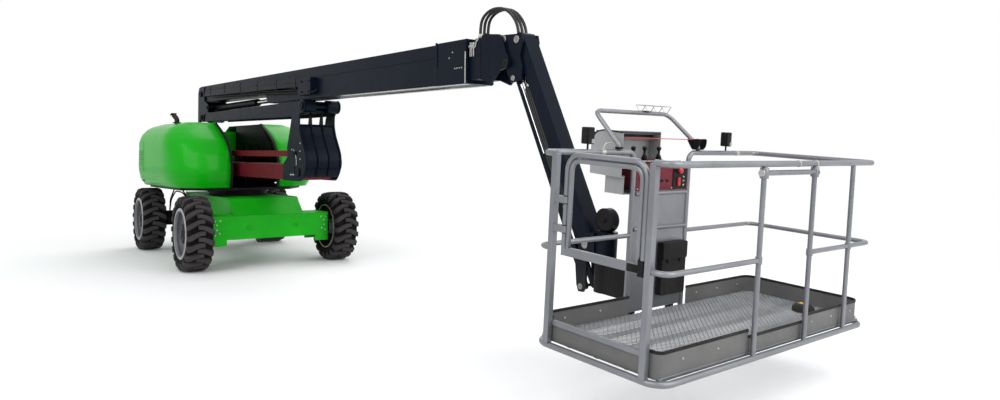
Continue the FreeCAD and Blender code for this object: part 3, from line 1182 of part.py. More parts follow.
def gate():
    """Swinging gate on the short side: a tube bent into an arch at rail height over a flat bottom bar."""
    y, left, right = f"-{HALF_L}", "-gate_left", f"({GATE_POST} - gate_gap - gate_tube)"
    arch = tube([(left, y, "gate_low - 25"), (left, y, "rail_height"), (right, y, "rail_height"),
                 (right, y, "gate_low - 25")], "gate_tube", "95")
    bar = block((left, right), (f"{y} - 12", f"{y} + 12"), ("gate_low - 25", "gate_low + 25"))
    return join(arch, bar)


def entry_bar():
    """Sliding bar between two posts, on a collar round each, parked at its upper stop."""
    z = "entry_parked"
    bar = rod("y", (HALF_W, z), ("entry_low", "entry_high"), "rail_tube - 2")
    collars, holes = [], []
    for y in ("entry_low", "entry_high"):
        collars.append(block((f"{HALF_W} - 30", f"{HALF_W} + 30"), (f"{y} - 30", f"{y} + 30"),
                             (f"{z} - 32", f"{z} + 32")))
        hole = "(post_half + pin_clearance)"
        holes.append(block((f"{HALF_W} - {hole}", f"{HALF_W} + {hole}"), (f"{y} - {hole}", f"{y} + {hole}"),
                           (f"{z} - 40", f"{z} + 40")))
    return minus(join(bar, *collars), *holes)


CONSOLE = ("-console_left + rail_tube + pin_clearance", "console_right - rail_tube - pin_clearance")


def console_panel():
    """Sheet between the two tubes of the console, stiffened by two cross bars."""
    sheet = block((f"-{HALF_W} - 4", f"-{HALF_W} + 4"), CONSOLE, ("floor_z", "panel_top"))
    bars = [rod("y", (f"-{HALF_W} + 10", z), CONSOLE, "13") for z in ("panel_top - 18", "mid_rail + 40")]
    return join(sheet, *bars)


SHIELD_BACK = f"(-{HALF_W} - rail_tube - pin_clearance)"


def control_box():
    """Control box: a full-width front and a body behind it inside the housing, with three levers."""
    rear = f"(-{HALF_W} - rail_tube)"
    low = "panel_top + pin_clearance"
    front = block((rear, f"-{HALF_W} + 18"), CONSOLE, (low, "box_top"))
    body = plate("y", [
        (f"{rear} - 125", f"{low} + 20"), (f"{rear} + 2", f"{low} + 20"), (f"{rear} + 2", "box_top"),
        (f"{rear} - 125", "box_top + 22"),
    ], ("-290", "145"))
    levers = []
    for y in ("-245", "-120", "40"):
        levers.append(join(rod("z", (f"{rear} - 60", y), ("box_top", "box_top + 75"), "12"),
                           rod("z", (f"{rear} - 60", y), ("box_top + 60", "box_top + 105"), "19")))
    return join(front, body, *levers)


def console_shield():
    """Open-fronted housing round the control box, on the machine side of the rails."""
    back = SHIELD_BACK
    wall = "shield_wall"
    lid = plate("y", [
        (f"{back} - shield_depth", "shield_floor"), (back, "shield_floor - 10"), (back, "shield_high"),
        (f"{back} - 165", "shield_high + 15"), (f"{back} - shield_depth + 45", "shield_high"),
        (f"{back} - shield_depth", "shield_high - 60"),
    ], ("-shield_left", "shield_right"))
    hollow = plate("y", [
        (f"{back} - shield_depth + {wall}", f"shield_floor + {wall}"), (f"{back} + 5", f"shield_floor - 10 + {wall}"),
        (f"{back} + 5", "shield_high + 30"), (f"{back} - 165", "shield_high + 30"),
        (f"{back} - 165", f"shield_high + 15 - {wall}"),
        (f"{back} - shield_depth + 45 + {wall} / 2", f"shield_high - {wall}"),
        (f"{back} - shield_depth + {wall}", "shield_high - 62"),
    ], (f"-shield_left + {wall}", f"shield_right - {wall}"))
    side = block((f"{back} - 175", f"{back} + 5"), ("shield_right - 20", "shield_right + 5"),
                 ("shield_floor + 20", "shield_high + 30"))
    box = block((f"{back} - 168", back), ("-shield_left + 30", "shield_right - 30"),
                ("shield_low", "shield_floor + 4"))
    room = block((f"{back} - 168 + {wall}", f"{back} + 5"),
                 (f"-shield_left + 30 + {wall}", f"shield_right - 30 - {wall}"),
                 (f"shield_low + {wall}", "shield_floor + 30"))
    return minus(join(minus(lid, hollow, side), box), room)


def anti_crush_bar():
    """Leaning loop of tube over the console, with its two feet on the top rail."""
    rail, foot = f"-{HALF_W}", "rail_height + rail_tube + pin_clearance"
    left, right = "-crush_left", "crush_right"
    return tube([
        (rail, left, foot), (rail, left, f"{foot} + 32"), (f"{rail} - crush_lean", left, "crush_top"),
        (f"{rail} - crush_lean", f"{right} - 75", "crush_top"), (rail, right, f"{foot} + 32"), (rail, right, foot),
    ], "15", "28")


def work_lamps():
    """Two lamps on short stalks on the machine side's top rail."""
    lamps = []
    for y in ("-795", "766"):
        x, low = f"-{HALF_W}", "rail_height + rail_tube + pin_clearance"
        stalk = rod("z", (x, y), (low, f"{low} + 40"), "7")
        head = block((f"{x} - 32", f"{x} + 32"), (f"{y} - 44", f"{y} + 44"), (f"{low} + 30", f"{low} + 145"))
        lamps.append(join(stalk, head))
    return group(*lamps)


def document_box():
    """Box for papers on the front of the console's sheet."""
    rear = f"-{HALF_W} + 4 + pin_clearance"
    return block((rear, f"{rear} + 60"), ("-20", "260"), ("140", "525"))


node("platform_support", platform_support(), "platform")
node("basket_floor", basket_floor(), "platform")
node("base_ring", ring("0", "rail_tube"), "platform")
node("top_rail", minus_all(top_rail_tubes("rail_tube"), upright_bars("pin_clearance")[:2]), "platform")
node("mid_rails", mid_rails(), "platform")
node("posts", posts(), "platform")
node("toe_boards", toe_boards(), "platform")
node("gate", gate(), "platform")
node("entry_bar", entry_bar(), "platform")
node("console_panel", console_panel(), "platform")
node("control_box", control_box(), "platform")
node("console_shield", console_shield(), "platform")
node("anti_crush_bar", anti_crush_bar(), "platform")
node("work_lamps", work_lamps(), "platform")
node("document_box", document_box(), "platform")
node("foot_pedal", block(("90", "230"), ("basket_length / 2 - 345", "basket_length / 2 - 185"),
                         ("floor_z + pin_clearance", "floor_z + 60")), "platform")

# ---------------------------------------------------------------- test and export
doc.recompute()
for item in doc.Objects:
    if "Invalid" in item.State or "Error" in item.State:
        raise RuntimeError(f"{item.Name} ({item.Label}) failed: {item.State}")
for part in NODES:
    if part.Shape.isNull() or not part.Shape.isValid():
        raise RuntimeError(f"{part.Label} has no valid shape")
    part.Shape.exportStep(f"parts/{part.Label}.step")
    box = part.Shape.BoundBox
    print(f"{part.Label:22s} solids {len(part.Shape.Solids):2d}  volume {part.Shape.Volume / 1e9:.4f} m3  "
          f"X {box.XMin:.0f}..{box.XMax:.0f}  Y {box.YMin:.0f}..{box.YMax:.0f}  Z {box.ZMin:.0f}..{box.ZMax:.0f}")
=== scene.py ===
# %% [markdown]
# # An articulated boom lift, dressed around its frame
# The frame gives every plate, tube and pin of the machine in metres, already in place.
# This script adds what a frame leaves out: bars on the tyres, smooth moulded covers, meshes,
# hoses, bolts and the finishes. Each piece is a surface worked out with numpy and tied to the
# body that carries it, so that it follows every joint.

# %% Load the frame
import json
import math
import bmesh
import bpy
import numpy as np
from mathutils import Matrix, Vector


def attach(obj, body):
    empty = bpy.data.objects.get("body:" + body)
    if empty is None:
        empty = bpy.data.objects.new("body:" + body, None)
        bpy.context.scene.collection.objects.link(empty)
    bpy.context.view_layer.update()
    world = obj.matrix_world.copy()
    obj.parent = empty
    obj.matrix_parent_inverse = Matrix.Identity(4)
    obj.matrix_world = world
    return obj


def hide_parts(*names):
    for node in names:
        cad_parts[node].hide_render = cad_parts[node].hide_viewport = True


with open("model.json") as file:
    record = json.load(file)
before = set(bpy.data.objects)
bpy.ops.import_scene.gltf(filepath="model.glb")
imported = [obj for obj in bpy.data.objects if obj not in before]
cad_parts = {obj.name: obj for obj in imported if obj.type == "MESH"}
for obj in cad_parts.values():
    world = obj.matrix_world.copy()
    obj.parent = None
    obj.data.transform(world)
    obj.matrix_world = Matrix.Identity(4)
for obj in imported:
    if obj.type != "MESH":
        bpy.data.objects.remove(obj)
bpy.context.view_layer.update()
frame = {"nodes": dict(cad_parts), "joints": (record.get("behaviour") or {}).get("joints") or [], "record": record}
joints = {joint["name"]: joint for joint in frame["joints"]}

# %% [markdown]
# ## Where things are
# Three parts of the machine sit askew in the frame: the chassis is turned under its turntable,
# the boom droops a little, and the platform leans. Three small functions take a point from each
# part's own straight axes into the frame, so that every piece can be drawn square.

# %% Own axes of the chassis, the boom and the platform
SLEW = math.radians(-3.617)
DROOP = math.radians(0.46)
DECK_TILT = math.radians(4.0)
BOOM_PIN = np.array(joints["boom_luff"]["pos_m"])
DECK_ORIGIN = np.array([8.5975, 0.0, 0.398])


def turned(points, axis, angle):
    """Points turned about a coordinate axis through the origin: the usual 3 x 3 rotation."""
    c, s = math.cos(angle), math.sin(angle)
    turn = {"y": [[c, 0, s], [0, 1, 0], [-s, 0, c]], "z": [[c, -s, 0], [s, c, 0], [0, 0, 1]]}[axis]
    return np.asarray(points, float) @ np.array(turn).T


def on_chassis(points):
    """From the chassis's axes, whose X runs towards the driven axle, into the frame."""
    return turned(points, "z", SLEW)


def on_boom(points):
    """From the boom's axes, whose origin is its rear pin and X its length, into the frame."""
    return turned(points, "y", DROOP) + BOOM_PIN


def on_deck(points):
    """From the platform's axes, whose origin is the middle of its lowest tube, into the frame."""
    return turned(points, "y", DECK_TILT) + DECK_ORIGIN


def as_is(points):
    """Points that are already in the frame's axes."""
    return np.asarray(points, float)


# The axes that a body's pieces are drawn in. Any other body uses the frame's own.
DRAWN_IN = {"chassis": on_chassis, "boom": on_boom, "boom_inner": on_boom, "platform": on_deck,
            "gate": on_deck, "entry_bar": on_deck}
print("boom pin", BOOM_PIN.round(3), "deck origin", DECK_ORIGIN, "bodies drawn square", len(DRAWN_IN))

# %% [markdown]
# ## Surfaces from numbers
# A new piece is a grid of points, worked out as one array from two parameters. The same few
# lines turn any such grid into a mesh, and join several grids into one piece.


# %% Grids of faces, and the mesh of one piece
def grid_faces(rows, cols, start=0, close_rows=False, close_cols=False):
    """Quads of a rows x cols grid of points, each from a point and its next ones both ways."""
    r = np.arange(rows if close_rows else rows - 1)
    c = np.arange(cols if close_cols else cols - 1)
    r, c = np.meshgrid(r, c, indexing="ij")
    r2, c2 = (r + 1) % rows, (c + 1) % cols
    quads = np.stack([r * cols + c, r * cols + c2, r2 * cols + c2, r2 * cols + c], -1)
    return quads.reshape(-1, 4) + start


class Shape:
    """Points and faces of one piece, gathered from several surfaces."""

    def __init__(self):
        """An empty shape."""
        self.points, self.faces, self.count = [], [], 0

    def take(self, points, faces):
        """Adds points, and faces that already count from the shape's first point."""
        self.faces.append(faces)
        self.points.append(np.asarray(points, float).reshape(-1, 3))
        self.count += len(self.points[-1])
        return self

    def grid(self, points, close_rows=False, close_cols=False):
        """Adds an array of rows x cols x 3 points."""
        return self.take(points, grid_faces(*points.shape[:2], self.count, close_rows, close_cols))

    def loose(self, points, faces):
        """Adds points with faces of any size that count from the first of them."""
        return self.take(points, [[i + self.count for i in face] for face in faces])

    def copies(self, meshes, faces):
        """Adds many small meshes, an array of copies x points x 3, that share the same faces."""
        shift = np.arange(len(meshes))[:, None, None] * meshes.shape[1]
        return self.take(meshes, (np.asarray(faces)[None] + shift).reshape(-1, 4) + self.count)


BEVEL_FROM = math.radians(35)


def piece(name, shape, body, look, place=None, bevel=0.0, smooth=30, merge=0.0,
          instead_of=(), wall=0.0):
    """Makes the mesh and its object, gives it its finish and ties it to its body.

    Edges sharper than the angle smooth stay sharp, a wall is the thickness that an open skin gets,
    and merge joins doubled points.
    """
    mesh = bpy.data.meshes.new(name)
    points = (place or DRAWN_IN.get(body, as_is))(np.concatenate(shape.points))
    faces = [[int(i) for i in face] for part in shape.faces for face in part]
    mesh.from_pydata(points.tolist(), [], faces)
    mesh.update()
    obj = bpy.data.objects.new(name, mesh)
    bpy.context.scene.collection.objects.link(obj)
    if merge:
        work = bmesh.new()
        work.from_mesh(mesh)
        bmesh.ops.remove_doubles(work, verts=work.verts, dist=merge)
        bmesh.ops.recalc_face_normals(work, faces=work.faces)
        work.to_mesh(mesh)
        work.free()
    if wall:
        skin = obj.modifiers.new("wall", "SOLIDIFY")
        skin.thickness, skin.offset = wall, -1
    mesh.polygons.foreach_set("use_smooth", np.ones(len(mesh.polygons), bool))
    if bevel:
        edges = obj.modifiers.new("edges", "BEVEL")
        edges.width, edges.segments, edges.limit_method = bevel, 2, "ANGLE"
        edges.angle_limit = BEVEL_FROM
        obj.modifiers.new("shading", "WEIGHTED_NORMAL").keep_sharp = True
    else:
        mesh.set_sharp_from_angle(angle=math.radians(smooth))
    mesh.materials.append(finish[look])
    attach(obj, body)
    if instead_of:
        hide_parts(*instead_of)


print("grid of 3 x 4 points has", len(grid_faces(3, 4)), "faces")


# %% [markdown]
# ## Effects that many finishes share
# Edge wear, dust, clouds and the fine ripple of sprayed paint turn up on nearly every part. Each
# is a node group, built once, with its own numbers as inputs and only masks, heights or normals
# as outputs; the material that uses it decides what they change.


# %% Helpers for node trees
def node_group(name, inputs, outputs):
    """An empty shader group with float inputs {name: value} and outputs {name: socket type}."""
    tree = bpy.data.node_groups.new(name, "ShaderNodeTree")
    for label, value in inputs.items():
        tree.interface.new_socket(label, in_out="INPUT", socket_type="NodeSocketFloat").default_value = value
    for label, kind in outputs.items():
        tree.interface.new_socket(label, in_out="OUTPUT", socket_type=kind)
    return tree, tree.nodes.new("NodeGroupInput").outputs, tree.nodes.new("NodeGroupOutput").inputs


def wire(tree, kind, settings=None, **sockets):
    """Adds a node, sets its properties and joins or sets its inputs.

    An input is named by its label with underscores for spaces, or by its number as in i0.
    """
    made = tree.nodes.new(kind)
    for label, value in (settings or {}).items():
        setattr(made, label, value)
    for label, value in sockets.items():
        key = int(label[1:]) if label[0] == "i" and label[1:].isdigit() else label.replace("_", " ")
        socket = made.inputs[key]
        if isinstance(value, bpy.types.NodeSocket):
            tree.links.new(value, socket)
        else:
            socket.default_value = value
    return made


def math_node(tree, operation, a, b, clamp=False):
    """One Math node; returns its output."""
    return wire(tree, "ShaderNodeMath", {"operation": operation, "use_clamp": clamp}, i0=a, i1=b).outputs[0]


def ramp(tree, value, low, high, out_low=0.0, out_high=1.0):
    """A smooth Map Range of value from low..high to out_low..out_high."""
    return wire(tree, "ShaderNodeMapRange", {"interpolation_type": "SMOOTHSTEP"}, Value=value, From_Min=low,
                From_Max=high, To_Min=out_low, To_Max=out_high).outputs[0]


def place_node(tree):
    """The Object coordinates, which every pattern here reads."""
    return wire(tree, "ShaderNodeTexCoord").outputs["Object"]


print("helpers ready")


# %% Clouds, dust, edge wear, ripple and rain marks
def noise(tree, scale, detail, rough, vector=None):
    """A fractal noise texture; returns its value."""
    return wire(tree, "ShaderNodeTexNoise", None, Vector=vector or place_node(tree), Scale=scale, Detail=detail,
                Roughness=rough).outputs[0]


def build_clouds():
    """Soft patches at a chosen scale, for uneven gloss and faded colour."""
    tree, given, result = node_group("clouds", {"Scale": 2.0, "Low": 0.35, "High": 0.7},
                                     {"Mask": "NodeSocketFloat"})
    patches = noise(tree, given["Scale"], 5, 0.6)
    tree.links.new(ramp(tree, patches, given["Low"], given["High"]), result["Mask"])
    return tree


def build_dust():
    """Dust: thick near the ground and on faces that look up, broken by noise."""
    tree, given, result = node_group("dust", {"Top": 1.2, "Ground": 0.7, "Upward": 0.4},
                                     {"Mask": "NodeSocketFloat"})
    spot = wire(tree, "ShaderNodeSeparateXYZ", None, Vector=place_node(tree)).outputs["Z"]
    facing = wire(tree, "ShaderNodeNewGeometry").outputs["Normal"]
    up = wire(tree, "ShaderNodeSeparateXYZ", None, Vector=facing).outputs["Z"]
    low = math_node(tree, "MULTIPLY", ramp(tree, spot, given["Top"], 0.0), given["Ground"])
    high = math_node(tree, "MULTIPLY", ramp(tree, up, 0.3, 1.0), given["Upward"])
    both = math_node(tree, "MAXIMUM", low, high)
    broken = ramp(tree, noise(tree, 7.0, 8, 0.65), 0.3, 0.68, 0.15, 1.0)
    tree.links.new(math_node(tree, "MULTIPLY", both, broken, clamp=True), result["Mask"])
    return tree


def build_edges():
    """Rounded edges for shading and a mask of where paint is rubbed thin on them."""
    tree, given, result = node_group("edges", {"Radius": 0.004, "Amount": 0.5},
                                     {"Mask": "NodeSocketFloat", "Normal": "NodeSocketVector"})
    rounded = wire(tree, "ShaderNodeBevel", {"samples": 4}, Radius=given["Radius"]).outputs[0]
    flat = wire(tree, "ShaderNodeNewGeometry").outputs["Normal"]
    alike = wire(tree, "ShaderNodeVectorMath", {"operation": "DOT_PRODUCT"}, i0=rounded, i1=flat).outputs["Value"]
    edge = ramp(tree, alike, 0.985, 0.8)
    worn = math_node(tree, "MULTIPLY", edge, ramp(tree, noise(tree, 26.0, 6, 0.7), 0.5, 0.62))
    tree.links.new(math_node(tree, "MULTIPLY", worn, given["Amount"], clamp=True), result["Mask"])
    tree.links.new(rounded, result["Normal"])
    return tree


def build_ripple():
    """The faint waviness of sprayed or moulded surfaces with fine grit on it, as a height."""
    tree, given, result = node_group("ripple", {"Wave scale": 60.0, "Grit scale": 900.0, "Grit": 0.2},
                                     {"Height": "NodeSocketFloat"})
    wave = noise(tree, given["Wave scale"], 2, 0.4)
    grit = math_node(tree, "MULTIPLY", noise(tree, given["Grit scale"], 2, 0.5), given["Grit"])
    tree.links.new(math_node(tree, "ADD", wave, grit), result["Height"])
    return tree


def build_streaks():
    """Thin marks that run down upright faces, where rain has washed dust."""
    tree, given, result = node_group("streaks", {"Scale": 9.0, "Length": 0.08}, {"Mask": "NodeSocketFloat"})
    squeeze = wire(tree, "ShaderNodeCombineXYZ", None, X=1.0, Y=1.0, Z=given["Length"]).outputs[0]
    stretched = wire(tree, "ShaderNodeVectorMath", {"operation": "MULTIPLY"}, i0=place_node(tree), i1=squeeze)
    value = noise(tree, given["Scale"], 6, 0.7, stretched.outputs[0])
    tree.links.new(ramp(tree, value, 0.52, 0.72), result["Mask"])
    return tree


GROUPS = {"clouds": build_clouds(), "dust": build_dust(), "edges": build_edges(), "ripple": build_ripple(),
          "streaks": build_streaks()}
print("groups", sorted(GROUPS))

# %% [markdown]
# ## Finishes
# Paint is the main finish here: gloss on the covers, boom and arms, satin on the running gear.
# One function makes every paint: a colour that drifts a little, dust that dulls it, bare metal
# where edges are rubbed, and a clear coat over all for the glossy ones.


# %% Colours and the paint function
def srgb(r, g, b):
    """A colour as a screen shows it, 0 to 255, in the linear numbers that a shader needs."""
    c = np.array([r, g, b]) / 255
    return tuple(np.where(c <= 0.04045, c / 12.92, ((c + 0.055) / 1.055) ** 2.4)) + (1.0,)


def shaded(colour, factor):
    """A darker or lighter version of a colour."""
    return tuple(min(1.0, c * factor) for c in colour[:3]) + (1.0,)


def use_group(tree, name, **values):
    """Places a shared group in a material with its own values."""
    made = tree.nodes.new("ShaderNodeGroup")
    made.node_tree = GROUPS[name]
    for label, value in values.items():
        made.inputs[label.replace("_", " ")].default_value = value
    return made.outputs


def mixed(tree, factor, a, b):
    """A colour between a and b; factor, a and b may be sockets or values."""
    return wire(tree, "ShaderNodeMix", {"data_type": "RGBA"}, i0=factor, i6=a, i7=b).outputs[2]


def blank_material(name):
    """A material with only a Principled BSDF, and its tree."""
    material = bpy.data.materials.new(name)
    material.use_nodes = True
    tree = material.node_tree
    return material, tree, tree.nodes["Principled BSDF"]


DUST = srgb(96, 92, 87)
BARE = srgb(120, 118, 114)
DUST_DULLS, PATCHES_DULL, COAT_ROUGH, RIPPLE_DEEP = 0.45, 0.1, 0.06, 0.002


def paint(name, colour, rough=0.3, coat=0.0, drift=0.12, dust_top=1.0, ground=0.5, upward=0.25, wear=0.35,
          ripple=0.05, metallic=0.0, radius=0.004, bare=BARE, streak=0.12, grit=0.2, shine=0.35):
    """Paint over metal: drifting colour, dust, rain marks, rubbed edges and a faint ripple."""
    material, tree, shader = blank_material(name)
    clouds = use_group(tree, "clouds", Scale=1.7)["Mask"]
    patches = use_group(tree, "clouds", Scale=23.0, Low=0.4, High=0.75)["Mask"]
    dust = use_group(tree, "dust", Top=dust_top, Ground=ground, Upward=upward)["Mask"]
    edges = use_group(tree, "edges", Radius=radius, Amount=wear)
    streaks = math_node(tree, "MULTIPLY", use_group(tree, "streaks")["Mask"], streak)
    base = mixed(tree, clouds, shaded(colour, 1 - drift), shaded(colour, 1 + drift))
    base = mixed(tree, math_node(tree, "MAXIMUM", dust, streaks), base, DUST)
    base = mixed(tree, edges["Mask"], base, bare)
    tree.links.new(base, shader.inputs["Base Color"])
    gloss = math_node(tree, "MULTIPLY_ADD", patches, PATCHES_DULL)
    gloss.node.inputs[2].default_value = rough
    gloss = math_node(tree, "ADD", gloss, math_node(tree, "MULTIPLY", dust, DUST_DULLS), clamp=True)
    tree.links.new(gloss, shader.inputs["Roughness"])
    height = use_group(tree, "ripple", Grit=grit)["Height"]
    bump = wire(tree, "ShaderNodeBump", None, Strength=ripple, Distance=RIPPLE_DEEP, Height=height,
                Normal=edges["Normal"])
    tree.links.new(bump.outputs[0], shader.inputs["Normal"])
    shader.inputs["Metallic"].default_value = metallic
    shader.inputs["Coat Weight"].default_value = coat
    shader.inputs["Coat Roughness"].default_value = COAT_ROUGH
    shader.inputs["Specular IOR Level"].default_value = shine
    return material


GREEN = srgb(10, 158, 14)
BLUE_BLACK = srgb(10, 17, 29)
MAROON = srgb(92, 22, 31)
finish = {
    "green_paint": paint("chassis green", GREEN, 0.36, 0.04, wear=0.12, dust_top=0.9, ground=0.05, upward=0.04,
                         shine=0.12),
    "hood_green": paint("cover green", GREEN, 0.3, 0.14, 0.04, ground=0.0, upward=0.0, wear=0.0, streak=0.0,
                        ripple=0.02, grit=0.0, shine=0.1),
    "boom_paint": paint("boom blue black", BLUE_BLACK, 0.36, 0.02, wear=0.15, upward=0.02, streak=0.03,
                        shine=0.06),
    "maroon_paint": paint("arm maroon", MAROON, 0.55, 0.0, wear=0.3, upward=0.05, streak=0.05, shine=0.1),
    "black_paint": paint("running gear black", srgb(13, 13, 14), 0.45, 0.0, wear=0.2, ground=0.12, upward=0.04,
                         shine=0.12),
    "basket_grey": paint("basket grey", srgb(122, 124, 128), 0.34, 0.05, 0.12, metallic=0.65, wear=0.3,
                         ground=0.08, upward=0.05, radius=0.003, bare=srgb(90, 90, 92)),
    "toe_grey": paint("toe board grey", srgb(98, 98, 97), 0.5, 0.0, metallic=0.3, wear=0.3, ground=0.15),
    "deck_mesh": paint("expanded metal", srgb(150, 152, 155), 0.4, 0.0, metallic=0.6, ground=0.12, upward=0.1),
    "panel_maroon": paint("panel maroon", srgb(92, 24, 34), 0.42, 0.0, wear=0.2, upward=0.03, shine=0.2),
    "bare_steel": paint("bare steel", srgb(150, 149, 146), 0.32, 0.0, metallic=0.9, wear=0.1),
    "engine_grey": paint("engine casting", srgb(84, 86, 88), 0.6, 0.0, metallic=0.3, ripple=0.4),
    "exhaust_steel": paint("exhaust steel", srgb(34, 31, 29), 0.6, 0.0, metallic=0.3, ripple=0.2),
    "rod_chrome": paint("hard chrome", srgb(215, 216, 218), 0.08, 0.0, 0.02, metallic=1.0, wear=0.0, ground=0.0,
                        upward=0.0, streak=0.0, ripple=0.01),
    "rim_silver": paint("rim silver", srgb(168, 170, 172), 0.34, 0.1, metallic=0.5, dust_top=1.1, ground=0.2,
                        upward=0.05, wear=0.2),
    # The dish is a darker grey than the lip. Part of that is its own darker paint and part is painted shade of the
    # recessed dish.
    "dish_grey": paint("dish grey with painted shade", srgb(96, 98, 102), 0.36, 0.05, metallic=0.4, dust_top=1.1, ground=0.2,
                       wear=0.3, shine=0.3),
    "hub_black": paint("hub black", srgb(8, 8, 9), 0.4, 0.0, dust_top=0.9, ground=0.05, wear=0.1, shine=0.15),
    "rim_dark": paint("rim inside", srgb(48, 20, 19), 0.6, 0.0, dust_top=1.1, ground=0.15, wear=0.2, shine=0.15),
    "cover_grey": paint("housing grey", srgb(142, 143, 144), 0.46, 0.0, 0.04, wear=0.0, upward=0.05, ripple=0.12),
    "black_plastic": paint("moulded black", srgb(11, 11, 12), 0.45, 0.0, wear=0.0, upward=0.02, ripple=0.3,
                           shine=0.15),
    "rubber": paint("black rubber", srgb(15, 15, 15), 0.7, 0.0, wear=0.0, upward=0.06, ripple=0.35, shine=0.2),
    "hose_rubber": paint("hose rubber", srgb(12, 12, 13), 0.45, 0.0, wear=0.0, upward=0.03, ripple=0.2, shine=0.4),
    "tyre": paint("tyre rubber", srgb(54, 51, 53), 0.75, 0.0, 0.2, dust_top=1.6, ground=0.12, upward=0.12,
                  wear=0.0, ripple=0.4, radius=0.003, shine=0.15),
    # The carcass is a near-black copy of the bars' rubber. That is painted shade, which makes the grooves between
    # the bars look deep, and its round sides get the same dark.
    "tyre_groove": paint("tyre carcass painted shade", srgb(14, 14, 14), 0.85, 0.0, 0.2, dust_top=1.6, ground=0.06, upward=0.04,
                         wear=0.0, ripple=0.4, radius=0.003, shine=0.08),
    "red": paint("signal red", srgb(178, 22, 20), 0.35, 0.1, wear=0.0, upward=0.0, ground=0.0),
    "yellow": paint("signal yellow", srgb(208, 168, 30), 0.4, 0.0, wear=0.0, upward=0.0, ground=0.0),
    "zinc": paint("zinc plate", srgb(176, 175, 170), 0.34, 0.0, metallic=0.75, wear=0.1, ground=0.1),
}
print("finishes", len(finish))

# %% [markdown]
# ## The frame's own plates and tubes
# Most nodes have the right shape already and only need their finish. The record says which
# slot each node has, so one loop gives them all their material.

# %% Finish the frame's nodes
slots = {part["node"]: part["material_slot"] for part in frame["record"]["subparts"]}
for name, node in frame["nodes"].items():
    node.data.materials.clear()
    node.data.materials.append(finish[slots[name]])
print("finished", len(slots), "nodes")

# %% [markdown]
# ## Four ways to draw a surface
# Wheels and pins are turned, rails and hoses are swept, plates are slabs with a drawn outline,
# and bolts are one small hexagon copied to many places. Each helper works on whole arrays and
# adds its points and faces to a shape.


# %% Turned surfaces
def full_turn(count):
    """Equal angles round a full turn."""
    return np.arange(count) * 2 * math.pi / count


def square_to(direction):
    """A direction's unit vector, and two more at right angles to it and to each other."""
    d = np.asarray(direction, float) / np.linalg.norm(direction)
    first = np.cross(d, [0.0, 0.0, 1.0] if abs(d[2]) < 0.9 else [1.0, 0.0, 0.0])
    first /= np.linalg.norm(first)
    return d, first, np.cross(d, first)


def spokes(direction, count):
    """The unit vector d of a direction, and count unit vectors round it: u cos t + v sin t."""
    d, u, v = square_to(direction)
    t = full_turn(count)[:, None]
    return d, np.cos(t) * u + np.sin(t) * v


def turned_on(profile, centre, direction, steps):
    """A profile of (along, radius) turned about an axis: centre + along d + radius times each spoke."""
    d, around = spokes(direction, steps)
    along, radius = np.asarray(profile, float).T
    return np.asarray(centre, float) + along[:, None, None] * d + radius[:, None, None] * around


def add_turned(shape, profile, centre, direction, steps, closed=False):
    """A turned surface; closed joins the profile's last point to its first."""
    return shape.grid(turned_on(profile, centre, direction, steps), close_rows=closed, close_cols=True)


print("a full turn has", turned_on([(0, 1), (1, 1)], (0, 0, 0), (0, 1, 0), 48).shape, "points")


# %% Ways, and sections swept along them
def rounded_way(corners, radius, closed=False, steps=7):
    """A way through corners, each replaced by a quadratic curve that starts and ends radius away."""
    corners = np.asarray(corners, float)
    count = len(corners)
    parts = [] if closed else [corners[:1]]
    t = np.linspace(0, 1, steps)[:, None]
    for i in range(count) if closed else range(1, count - 1):
        before, corner, after = corners[i - 1], corners[i], corners[(i + 1) % count]
        back, on = np.linalg.norm(before - corner), np.linalg.norm(after - corner)
        reach = min(radius, 0.49 * back, 0.49 * on)
        a = corner + (before - corner) / back * reach
        b = corner + (after - corner) / on * reach
        parts.append((1 - t) ** 2 * a + 2 * t * (1 - t) * corner + t ** 2 * b)
    return np.concatenate(parts if closed else parts + [corners[-1:]])


def smooth_line(points, count):
    """A line through points: each coordinate is interpolated over length and then softened."""
    points = np.asarray(points, float)
    run = np.concatenate([[0], np.cumsum(np.linalg.norm(np.diff(points, axis=0), axis=1))])
    at = np.linspace(0, run[-1], count)
    blur = np.linspace(-0.035, 0.035, 9) * (1 - np.abs(2 * at[:, None] / run[-1] - 1) ** 8)
    return np.stack([np.interp(at[:, None] + blur, run, column).mean(1) for column in points.T], -1)


def swept(way, section, closed=False):
    """A section of (side, up) pairs carried along a way; side and up keep square to the way."""
    way = np.asarray(way, float)
    ahead = np.roll(way, -1, 0) - np.roll(way, 1, 0)
    if not closed:
        ahead[0], ahead[-1] = way[1] - way[0], way[-1] - way[-2]
    ahead /= np.linalg.norm(ahead, axis=1)[:, None]
    sides = [square_to(ahead[0])[1]]
    for direction in ahead[1:]:
        side = sides[-1] - np.dot(sides[-1], direction) * direction
        sides.append(side / np.linalg.norm(side))
    sides = np.array(sides)
    ups = np.cross(ahead, sides)
    side, up = np.asarray(section, float).T[:, None, :, None]
    return way[:, None] + side * sides[:, None] + up * ups[:, None]


DOME_RINGS = ((0.7, 0.2), (0.02, 0.28))


def add_tube(shape, way, radius, count=12, closed=False):
    """A tube along a way: a circle (r cos t, r sin t) carried along it, with domed ends.

    A dome is two smaller rings, the last of 2 % of the radius, so it keeps a pinhole.
    """
    way = np.asarray(way, float)
    t = full_turn(count)
    grid = swept(way, np.stack([radius * np.cos(t), radius * np.sin(t)], -1), closed)
    for end, inner in () if closed else ((0, 1), (-1, -2)):
        away = way[end] - way[inner]
        away /= np.linalg.norm(away)
        rings = [way[end] + (grid[end] - way[end]) * k + away * radius * j for k, j in DOME_RINGS]
        grid = np.concatenate([rings[::-1], grid] if end == 0 else [grid, rings])
    return shape.grid(grid, close_rows=closed, close_cols=True)


def add_tubes(shape, ways, radius, count):
    """Several tubes of one radius."""
    for way in ways:
        add_tube(shape, way, radius, count)


print("a bend has", len(rounded_way([(0, 0, 0), (1, 0, 0), (1, 1, 0)], 0.1)), "points")


